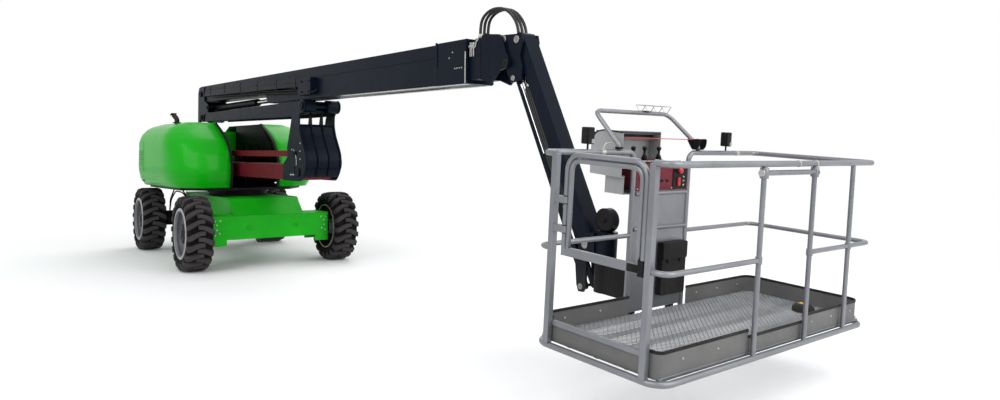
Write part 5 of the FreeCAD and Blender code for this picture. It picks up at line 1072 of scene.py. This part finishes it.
gland, chrome, runs, wrap, guard = (Shape() for _ in range(5))
add_turned(gland, GLAND, ORIGIN, LONG, 40)
pipe = [(0.06, 0.008, 0.032), (0.09, 0.008, 0.045), (0.62, 0.008, 0.045), (0.66, 0.008, 0.034)]
add_tube(gland, rounded_way(pipe, 0.02), 0.0055, 10)
add_tube(chrome, [(0.36, -0.066, -0.146), (1.02, -0.066, -0.146)], 0.0065, 12)
add_turned(chrome, NUT, (0, -0.066, -0.146), LONG, 20)
piece("jib_hard_pipe", chrome, "jib_arm", "rod_chrome", place=on_jib, smooth=50)
piece("jib_gland", gland, "jib_barrel", "bare_steel", place=on_barrel, smooth=40)
for y, z in ((-0.064, -0.079), (-0.0635, -0.103), (-0.063, -0.127), (0.063, -0.082)):
    lie = [(0.42, y, z + 0.012), (0.6, y, z), (1.1, y, z), (1.50, y, z + 0.008)]
    add_tube(runs, rounded_way(lie, 0.2), 0.0105, 12)
for x in (0.5, 0.8, 1.15, 1.45):
    add_block(runs, (x, x + 0.03), (-0.066, 0.066), (-0.074, -0.0655))
piece("jib_hoses", runs, "jib_arm", "hose_rubber", place=on_jib, smooth=60)
for outline in (LOWER_DOUBLING, UPPER_DOUBLING):
    add_pair(wrap, outline, JIB_SIDE, JIB_SIDE + 0.0023)
piece("jib_doubling_plates", wrap, "jib_arm", "boom_paint", place=on_jib, bevel=0.002)
for way in (-1, 1):
    add_turned(guard, GUARD, (7.6639, way * 0.03, 1.072), (0, way, 0), 48)
piece("round_guard_faces", guard, "jib_head", "black_plastic", smooth=40)
print("points of the jib's hoses", runs.count)

# %% [markdown]
# ## Toe boards
# One bent sheet stands round the floor so that nothing rolls off. It is folded at the corners to
# the same radius as the rails, it is lower at the two ways in, and a black moulding covers its
# cut edge. Each run is a way in plan that carries a tall thin section.


# %% Toe boards with their edge moulding, threshold bar and bolts
def wall_along(shape, way, low, high, thick):
    """A thin upright wall along a way of (x, y): its section runs up, across and down again."""
    way = rounded_way([(x, y, 0.0) for x, y in way], 0.09, steps=9)
    ahead = np.gradient(way, axis=0)
    ahead /= np.linalg.norm(ahead, axis=1)[:, None]
    out = np.stack([ahead[:, 1], -ahead[:, 0], 0 * ahead[:, 0]], -1)
    section = [(-thick, low), (-thick, high), (thick, high), (thick, low)]
    rows = np.stack([way + out * s + [0, 0, z] for s, z in section], 1)
    shape.grid(rows, close_cols=True)
    for end in (rows[0], rows[-1][::-1]):
        shape.loose(end, [[0, 1, 2, 3]])


SIDE, END, DOOR = 0.451, 1.1475, 0.352
BOARD, ENTRY_BOARD, GATE_BOARD = 0.17, 0.13, 0.122
RUNS = [
    ([(-SIDE, -0.33), (-SIDE, -END), (-DOOR, -END)], BOARD), ([(-DOOR, -END), (DOOR, -END)], GATE_BOARD),
    ([(DOOR, -END), (SIDE, -END), (SIDE, -0.312)], BOARD), ([(SIDE, -0.312), (SIDE, 0.337)], ENTRY_BOARD),
    ([(SIDE, 0.337), (SIDE, END), (-SIDE, END), (-SIDE, 0.318)], BOARD),
]
boards, moulding, bar, heads = (Shape() for _ in range(4))
for way, top in RUNS:
    wall_along(boards, way, 0.02, top, 0.002)
    if top != GATE_BOARD:
        wall_along(moulding, way, top - 0.012, top + 0.005, 0.0045)
piece("toe_boards_bent", boards, "platform", "toe_grey", merge=1e-6, smooth=40, instead_of=("toe_boards",))
piece("toe_board_moulding", moulding, "platform", "rubber", merge=1e-6, smooth=40)
add_block(bar, (-0.348, 0.348), (-1.164, -1.128), (0.122, 0.15))
for x in np.linspace(-0.44, 0.44, 5):
    add_block(bar, (x - 0.014, x + 0.014), (-1.14, 1.14), (0.012, 0.034))
piece("floor_bearers", bar, "platform", "basket_grey", bevel=0.003)
for x, way in ((0.4535, 1), (-0.4535, -1), (0.4485, -1), (-0.4485, 1)):
    add_bolts(heads, [(x, y, 0.11) for y in (-0.95, -0.62, 0.45, 0.72, 1.0)], (way, 0, 0), 0.006, 0.006)
piece("toe_board_bolts", heads, "platform", "zinc")
print("toe board runs", len(RUNS))

# %% [markdown]
# ## Floor of expanded metal
# A sheet is slit and stretched until it opens into diamonds, which drains and grips. Seen from
# close by it is a set of zigzag strands, each leaning a little and joined to the next one at the
# knots, so each strand is one swept section whose way goes from side to side.

# %% Zigzag strands
STRANDS, KNOTS = 46, 108
FLOOR_WIDE, FLOOR_LONG = 0.894, 2.286
SWING = 0.46
row, knot = np.meshgrid(np.arange(STRANDS), np.arange(KNOTS), indexing="ij")
pitch = FLOOR_WIDE / STRANDS
x = -FLOOR_WIDE / 2 + (row + 0.5 + np.where((row + knot) % 2, SWING, -SWING)) * pitch
y = -FLOOR_LONG / 2 + knot * FLOOR_LONG / (KNOTS - 1)
ring_x, ring_z = np.array([-0.0022, 0.0006, 0.0026, -0.0002]), np.array([0.0415, 0.0478, 0.0468, 0.041])
strands = np.stack([x[..., None] + ring_x, np.repeat(y[..., None], 4, -1), 0 * x[..., None] + ring_z], -1)
middles = strands.mean(2, keepdims=True)
strands = np.concatenate([np.repeat(middles[:, :1], 4, 2), strands, np.repeat(middles[:, -1:], 4, 2)], 1)
mesh = Shape().copies(strands.reshape(STRANDS, -1, 3), grid_faces(KNOTS + 2, 4, close_cols=True))
piece("floor_mesh", mesh, "platform", "deck_mesh", merge=1e-6, smooth=20, instead_of=("basket_floor",))
print("points of the floor", mesh.count)

# %% [markdown]
# ## Controls
# The control box fills the console between its two tubes. Its front is a folded panel with a
# raised plate, an emergency stop and a few switches; on top stand three levers in rubber bellows.

# %% Control box, levers and switches
PANEL = -0.468
STEM = [(0.058, 0.008), (0.078, 0.0085), (0.084, 0.014), (0.095, 0.018), (0.104, 0.016), (0.1085, 0.009),
        (0.1095, 0.0005)]
FOLD = ((0.009, 0.03, 0.004), (0.014, 0.022, 0.003))
FOLDS = [(0.0, 0.032), (0.006, 0.032)] + [(along + 0.011 * step, radius - shrink * step)
                                          for step in range(4) for along, radius, shrink in FOLD]
KNOB = [(0, 0.012), (0.003, 0.012), (0.004, 0.005), (0.016, 0.003), (0.019, 0.0005)]
STOP = [(0, 0.013), (0.012, 0.013), (0.014, 0.021), (0.022, 0.022), (0.028, 0.017), (0.03, 0.0005)]
OUT = (1, 0, 0)
box, black, stop, small = (Shape() for _ in range(4))
add_slab(box, plate((-0.305, 0.275), (0.897, 1.088), 0.012), -0.497, -0.466, "x")
add_slab(box, [(-0.62, 0.916), (-0.497, 0.916), (-0.497, 1.088), (-0.62, 1.108)], -0.29, 0.145)
add_slab(box, plate((-0.27, 0.085), (0.915, 1.068), 0.02), PANEL, -0.4625, "x")
piece("control_case", box, "platform", "panel_maroon", bevel=0.003, instead_of=("control_box",))
for y in (-0.245, -0.12, 0.04):
    add_turned(black, FOLDS + STEM, (-0.557, y, 1.093), (0, 0, 1), 28)
add_slab(black, plate((0.10, 0.262), (0.905, 1.075), 0.012), PANEL, -0.461, "x")
add_block(black, (-0.54, -0.464), (-0.3, 0.27), (1.0885, 1.0945))
for y in np.linspace(-0.22, 0.03, 5):
    add_turned(black, KNOB, (-0.4625, y, 0.965), OUT, 16)
piece("control_levers", black, "platform", "black_plastic", smooth=45)
add_turned(stop, STOP, (-0.461, 0.163, 1.035), OUT, 32)
add_slab(stop, plate((0.15, 0.178), (0.925, 0.985), 0.01), -0.461, -0.452, "x")
piece("emergency_stop", stop, "platform", "red", smooth=45)
add_bolts(small, [(-0.4655, y, z) for y in (-0.288, 0.0925) for z in (0.91, 1.07)], OUT, 0.005, 0.004)
add_bolts(small, [(-0.4605, 0.22, z) for z in (0.93, 0.96, 0.99)], OUT, 0.006, 0.006)
add_tube(small, [(-0.53, -0.295, 1.098), (-0.53, 0.268, 1.098)], 0.005, 8)
piece("control_fittings", small, "platform", "zinc", smooth=45)
print("points of the levers and switches", black.count)

# %% [markdown]
# ## Housing edges, crush loop fittings and joints of the rails
# Rubber edging covers the housing's cut sheet. The leaning loop carries a small wire tray, its
# feet stand in bolted brackets, and a red trip cord, pulled tight, runs across below it. Bright
# sleeves show where the rails are joined.


# %% Edging, brackets, crush loop, tray and trip cord
def band(half, low, high, chamfer=0.001):
    """Profile of a short sleeve round a tube: up a chamfer, along, and down again."""
    return [(-half, low), (chamfer - half, high), (half - chamfer, high), (half, low)]


RAIL_AT, RAIL_HIGH = 0.478, 1.164
LOOP_TOP = -0.713
LOOP = [(-RAIL_AT, -0.495, 1.185), (-RAIL_AT, -0.495, 1.2155), (LOOP_TOP, -0.495, 1.44),
        (LOOP_TOP, 0.325, 1.44), (-RAIL_AT, 0.40, 1.2155), (-RAIL_AT, 0.40, 1.185)]
BRACKET = [(-0.55, 1.262), (-0.43, 1.272), (-0.435, 1.215), (-0.458, 1.187), (-0.5, 1.187)]
edging, bracket, crush, tray, trip, stays = (Shape() for _ in range(6))
hood = [(-0.787, -0.427, 1.232), (-0.742, -0.427, 1.294), (-0.665, -0.427, 1.309), (-0.505, -0.427, 1.296)]
add_tube(edging, rounded_way(hood, 0.03), 0.006, 8)
add_tube(edging, [(-0.742, -0.427, 1.295), (-0.742, 0.202, 1.295)], 0.008, 8)
add_block(edging, (-0.79, -0.744), (-0.425, 0.2), (1.262, 1.29))
add_block(edging, (-0.66, -0.5), (0.178, 0.2085), (1.03, 1.06))
piece("housing_edging", edging, "platform", "black_plastic", smooth=50)
for low, high in ((0.355, 0.362), (0.438, 0.445)):
    add_slab(bracket, rounded_way(BRACKET, 0.02, closed=True), low, high)
add_block(bracket, (-0.5, -0.456), (0.355, 0.445), (1.187, 1.193))
add_block(bracket, (-0.5, -0.456), (-0.52, -0.47), (1.186, 1.2))
piece("loop_brackets", bracket, "platform", "black_paint", bevel=0.002)
add_tube(crush, rounded_way(LOOP, 0.07, steps=12), 0.0162, 20)
piece("crush_loop", crush, "platform", "basket_grey", smooth=60, instead_of=("anti_crush_bar",))
TRAY_HALF, TRAY_HIGH = 0.045, 1.498
rim = [(x, y, TRAY_HIGH) for x, y in plate((LOOP_TOP - TRAY_HALF, LOOP_TOP + TRAY_HALF), (0.0, 0.3))]
add_tube(tray, rounded_way(rim, 0.012, closed=True), 0.003, 6, closed=True)
add_tubes(tray, [[(LOOP_TOP + way * 0.012, y, 1.45), (LOOP_TOP + way * TRAY_HALF, y, TRAY_HIGH)]
                 for y in (0.0, 0.1, 0.2, 0.3) for way in (-1, 1)], 0.0028, 6)
add_block(tray, (LOOP_TOP - TRAY_HALF, LOOP_TOP + TRAY_HALF), (0.02, 0.095), (1.456, 1.459))
piece("wire_tray", tray, "platform", "zinc", smooth=45)
add_tube(trip, [(-0.60, -0.28, 1.258), (-0.49, 0.375, 1.262)], 0.003, 8)
piece("trip_cord", trip, "platform", "red", smooth=60)
eye = [(-RAIL_AT, -0.53, 1.18), (-0.47, -0.56, 1.23), (-0.45, -0.66, 1.225), (-0.45, -0.68, 1.175)]
add_tube(stays, rounded_way(eye, 0.05), 0.004, 8)
for x, sleeve, places in ((-RAIL_AT, band(0.02, 0.019, 0.0205), (0.92, -0.65)),
                          (RAIL_AT, band(0.006, 0.018, 0.0215), (0.1, 0.32))):
    for y in places:
        add_turned(stays, sleeve, (x, y, RAIL_HIGH), (0, 1, 0), 28)
piece("rail_joints", stays, "platform", "zinc", smooth=45)
print("points of the crush loop", crush.count)

# %% [markdown]
# ## Lamps and small things in the platform
# Two lamps on short stalks have a bezel, cooling fins and a blank plate. A lidded box for papers
# hangs on the console, and the foot switch is a low dome with a yellow mark, without lettering.

# %% Lamps, document box and foot switch
lamp_case, plates, papers, pedal, mark = (Shape() for _ in range(5))
for y in (-0.795, 0.766):
    for x0, x1, wide in ((-0.508, -0.455, 0.032), (-0.456, -0.448, 0.028)):
        add_slab(lamp_case, plate((y - wide, y + wide), (1.216, 1.326), 0.012), x0, x1, "x")
    add_tube(lamp_case, [(-RAIL_AT, y, 1.184), (-RAIL_AT, y, 1.218)], 0.007, 10)
    for fin in np.linspace(1.235, 1.305, 6):
        add_block(lamp_case, (-0.51, -0.505), (y - 0.027, y + 0.027), (fin, fin + 0.005))
    add_block(plates, (-0.4485, -0.4465), (y + 0.004, y + 0.03), (1.222, 1.25))
piece("lamp_cases", lamp_case, "platform", "black_plastic", bevel=0.002, instead_of=("work_lamps",))
piece("lamp_plates", plates, "platform", "cover_grey")
add_slab(papers, plate((-0.018, 0.258), (0.142, 0.43), 0.02), -0.4735, -0.424, "x")
add_slab(papers, plate((-0.02, 0.26), (0.40, 0.524), 0.016), -0.4735, -0.4145, "x")
for y in (0.05, 0.19):
    add_block(papers, (-0.425, -0.414), (y - 0.014, y + 0.014), (0.375, 0.41))
piece("document_case", papers, "platform", "black_plastic", bevel=0.004, instead_of=("document_box",))
DOME = [(0.0, 0.078), (0.02, 0.079), (0.034, 0.074), (0.048, 0.058), (0.055, 0.03), (0.0565, 0.0005)]
dome = turned_on(DOME, (0.16, 0.9095, 0.0495), (0, 0, 1), 48)
pedal.grid(dome, close_cols=True)
pedal.loose(dome[0], [list(range(47, -1, -1))])
piece("foot_switch", pedal, "platform", "rubber", smooth=50, instead_of=("foot_pedal",))
add_slab(mark, [(0.13, 0.885), (0.185, 0.885), (0.19, 0.93), (0.16, 0.915), (0.13, 0.93)], 0.103, 0.1065, "z")
piece("foot_switch_mark", mark, "platform", "yellow")
print("points of the lamps", lamp_case.count)

# %% [markdown]
# ## Posts, gate and sliding bar
# The frame's posts are all square bars. Only the two beside the gate look so: the three on the
# long side are thin tubes, which the sliding entry bar grips with a round sleeve at each end.
# The gate has a second tube inside its frame and black pads on its hinges and its latch.

# %% Gate, gate posts with their hinge lugs, round posts, entry bar
GATE_AT, BAR_HIGH = -1.1745, 1.11
BAR_ENDS = ((-0.29, -1), (0.315, 1))
inner, pads, caps, square, slim, bar = (Shape() for _ in range(6))
bow = [(-0.235, GATE_AT, 0.6), (-0.235, GATE_AT, 1.131), (0.294, GATE_AT, 1.131), (0.294, GATE_AT, 0.6)]
add_tube(inner, rounded_way(bow, 0.07, steps=10), 0.0155, 16)
piece("gate_inner_tube", inner, "gate", "basket_grey", smooth=60)
add_block(pads, (0.225, 0.30), (-1.191, -1.1865), (0.568, 0.612))
add_block(pads, (0.302, 0.342), (-1.193, -1.156), (0.552, 0.64))
for z in (0.70, 0.874):
    add_tube(pads, [(-0.268, GATE_AT, z - 0.004), (-0.268, GATE_AT, z + 0.044)], 0.0195, 20)
    add_slab(square, plate((-0.354, -0.243), (GATE_AT - 0.025, GATE_AT + 0.025), 0.024), z, z + 0.04, "z")
piece("gate_pads", pads, "gate", "black_plastic", bevel=0.002)
for y, way in BAR_ENDS:
    add_turned(caps, [(0, 0.02), (0.004, 0.022), (0.008, 0.02), (0.009, 0.0005)],
               (RAIL_AT, y + way * 0.0255, BAR_HIGH), (0, way, 0), 28)
piece("entry_bar_caps", caps, "entry_bar", "zinc", smooth=45)
for x in (-0.369, 0.369):
    add_block(square, (x - 0.02, x + 0.02), (GATE_AT - 0.02, GATE_AT + 0.02), (0.010, RAIL_HIGH))
piece("gate_posts", square, "platform", "basket_grey", bevel=0.003, instead_of=("posts",))
for y in (-0.29, 0.315, 0.85):
    add_tube(slim, [(RAIL_AT, y, 0.005), (RAIL_AT, y, 1.155)], 0.0158, 20)
    add_turned(slim, band(0.024, 0.0155, 0.0208, 0.003), (RAIL_AT, y, 0.59), (0, 0, 1), 28)
piece("round_posts", slim, "platform", "basket_grey", smooth=50)
add_tube(bar, [(RAIL_AT, y, BAR_HIGH) for y, _ in BAR_ENDS], 0.0165, 20)
sleeve = [(-0.032, 0.0168), (-0.032, 0.024), (-0.028, 0.0262), (0.028, 0.0262), (0.032, 0.024),
          (0.032, 0.0168)]
for y, _ in BAR_ENDS:
    add_turned(bar, sleeve, (RAIL_AT, y, BAR_HIGH), (0, 0, 1), 32, closed=True)
piece("entry_bar_round", bar, "entry_bar", "basket_grey", smooth=50, instead_of=("entry_bar",))
print("points of the entry bar", bar.count)

# %% [markdown]
# ## Camera, lamps and floor
# The camera stands low beside the platform and looks back along the machine with a short lens,
# so the platform is large and the chassis small. Big soft lamps and a pale world show paint as
# it is; the floor and the background go white only for the camera and in reflections.

# %% Camera
CAMERA_AT = np.array([11.4832, -4.2789, 1.5771])
YAW, TILT, ROLL = -0.69741, 0.00946, 0.00467
ahead = Vector((-math.cos(YAW) * math.cos(TILT), -math.sin(YAW) * math.cos(TILT), math.sin(TILT)))
right = ahead.cross(Vector((0, 0, 1))).normalized()
up = right.cross(ahead)
side = right * math.cos(ROLL) + up * math.sin(ROLL)
top = up * math.cos(ROLL) - right * math.sin(ROLL)
camera = bpy.data.objects.new("camera", bpy.data.cameras.new("camera"))
bpy.context.scene.collection.objects.link(camera)
rows = [(*row, place) for *row, place in zip(side, top, -ahead, CAMERA_AT)]
camera.matrix_world = Matrix(rows + [(0, 0, 0, 1)])
camera.data.sensor_width, camera.data.lens = 36.0, 26.54
camera.data.shift_y = -0.053
camera.data.clip_end = 200
bpy.context.scene.camera = camera
print("camera at", CAMERA_AT)


# %% Lamps and world
def lamp(name, place, target, size, power):
    """A square area lamp that looks at a point."""
    light = bpy.data.lights.new(name, "AREA")
    light.size, light.energy = size, power
    obj = bpy.data.objects.new(name, light)
    bpy.context.scene.collection.objects.link(obj)
    obj.location = place
    obj.rotation_euler = (Vector(target) - Vector(place)).to_track_quat("-Z", "Y").to_euler()


lamp("key", (9, -13, 11), (4, 0, 1), 13, 1350)
lamp("fill", (17, 3, 8), (6, 0, 1), 14, 1500)
lamp("back", (-5, 9, 12), (3, 0, 1), 14, 950)

world = bpy.data.worlds.new("studio")
bpy.context.scene.world = world
world.use_nodes = True
sky = world.node_tree
rays = wire(sky, "ShaderNodeLightPath").outputs
plain = math_node(sky, "MAXIMUM", rays["Is Camera Ray"], rays["Is Transmission Ray"])
plain = math_node(sky, "MAXIMUM", plain, rays["Is Glossy Ray"])
height = wire(sky, "ShaderNodeSeparateXYZ", None, Vector=wire(sky, "ShaderNodeTexCoord").outputs["Generated"])
soft = mixed(sky, ramp(sky, height.outputs["Z"], -0.1, 0.8), (0.3, 0.31, 0.32, 1), (0.78, 0.79, 0.81, 1))
sky.links.new(mixed(sky, plain, soft, (1, 1, 1, 1)), sky.nodes["Background"].inputs["Color"])
sky.nodes["Background"].inputs["Strength"].default_value = 1.0
print("lamps", len(bpy.data.lights))

# %% Floor
FLOOR = 60.0
floor_mesh = bpy.data.meshes.new("floor")
floor_mesh.from_pydata([(x, y, 0) for x, y in plate((-FLOOR, FLOOR), (-FLOOR, FLOOR))], [], [(0, 1, 2, 3)])
floor = bpy.data.objects.new("floor", floor_mesh)
bpy.context.scene.collection.objects.link(floor)
floor_finish, tree, shader = blank_material("pale floor")
shader.inputs["Base Color"].default_value = (0.86, 0.86, 0.86, 1)
shader.inputs["Roughness"].default_value = 0.9
MIDDLE, NEAR, FAR = (4.0, 0.0, 0.0), 5.5, 9.5
reach = wire(tree, "ShaderNodeVectorMath", {"operation": "DISTANCE"}, i0=place_node(tree), i1=MIDDLE)
far = ramp(tree, reach.outputs["Value"], NEAR, FAR)
seen = math_node(tree, "MULTIPLY", wire(tree, "ShaderNodeLightPath").outputs["Is Camera Ray"], far)
white = wire(tree, "ShaderNodeEmission", None, Color=(1, 1, 1, 1), Strength=1.0)
blend = wire(tree, "ShaderNodeMixShader", None, i0=seen, i1=shader.outputs[0], i2=white.outputs[0])
tree.links.new(blend.outputs[0], tree.nodes["Material Output"].inputs["Surface"])
floor_mesh.materials.append(floor_finish)
bpy.context.scene.view_settings.view_transform = "Standard"
print("floor half as wide as", FLOOR)
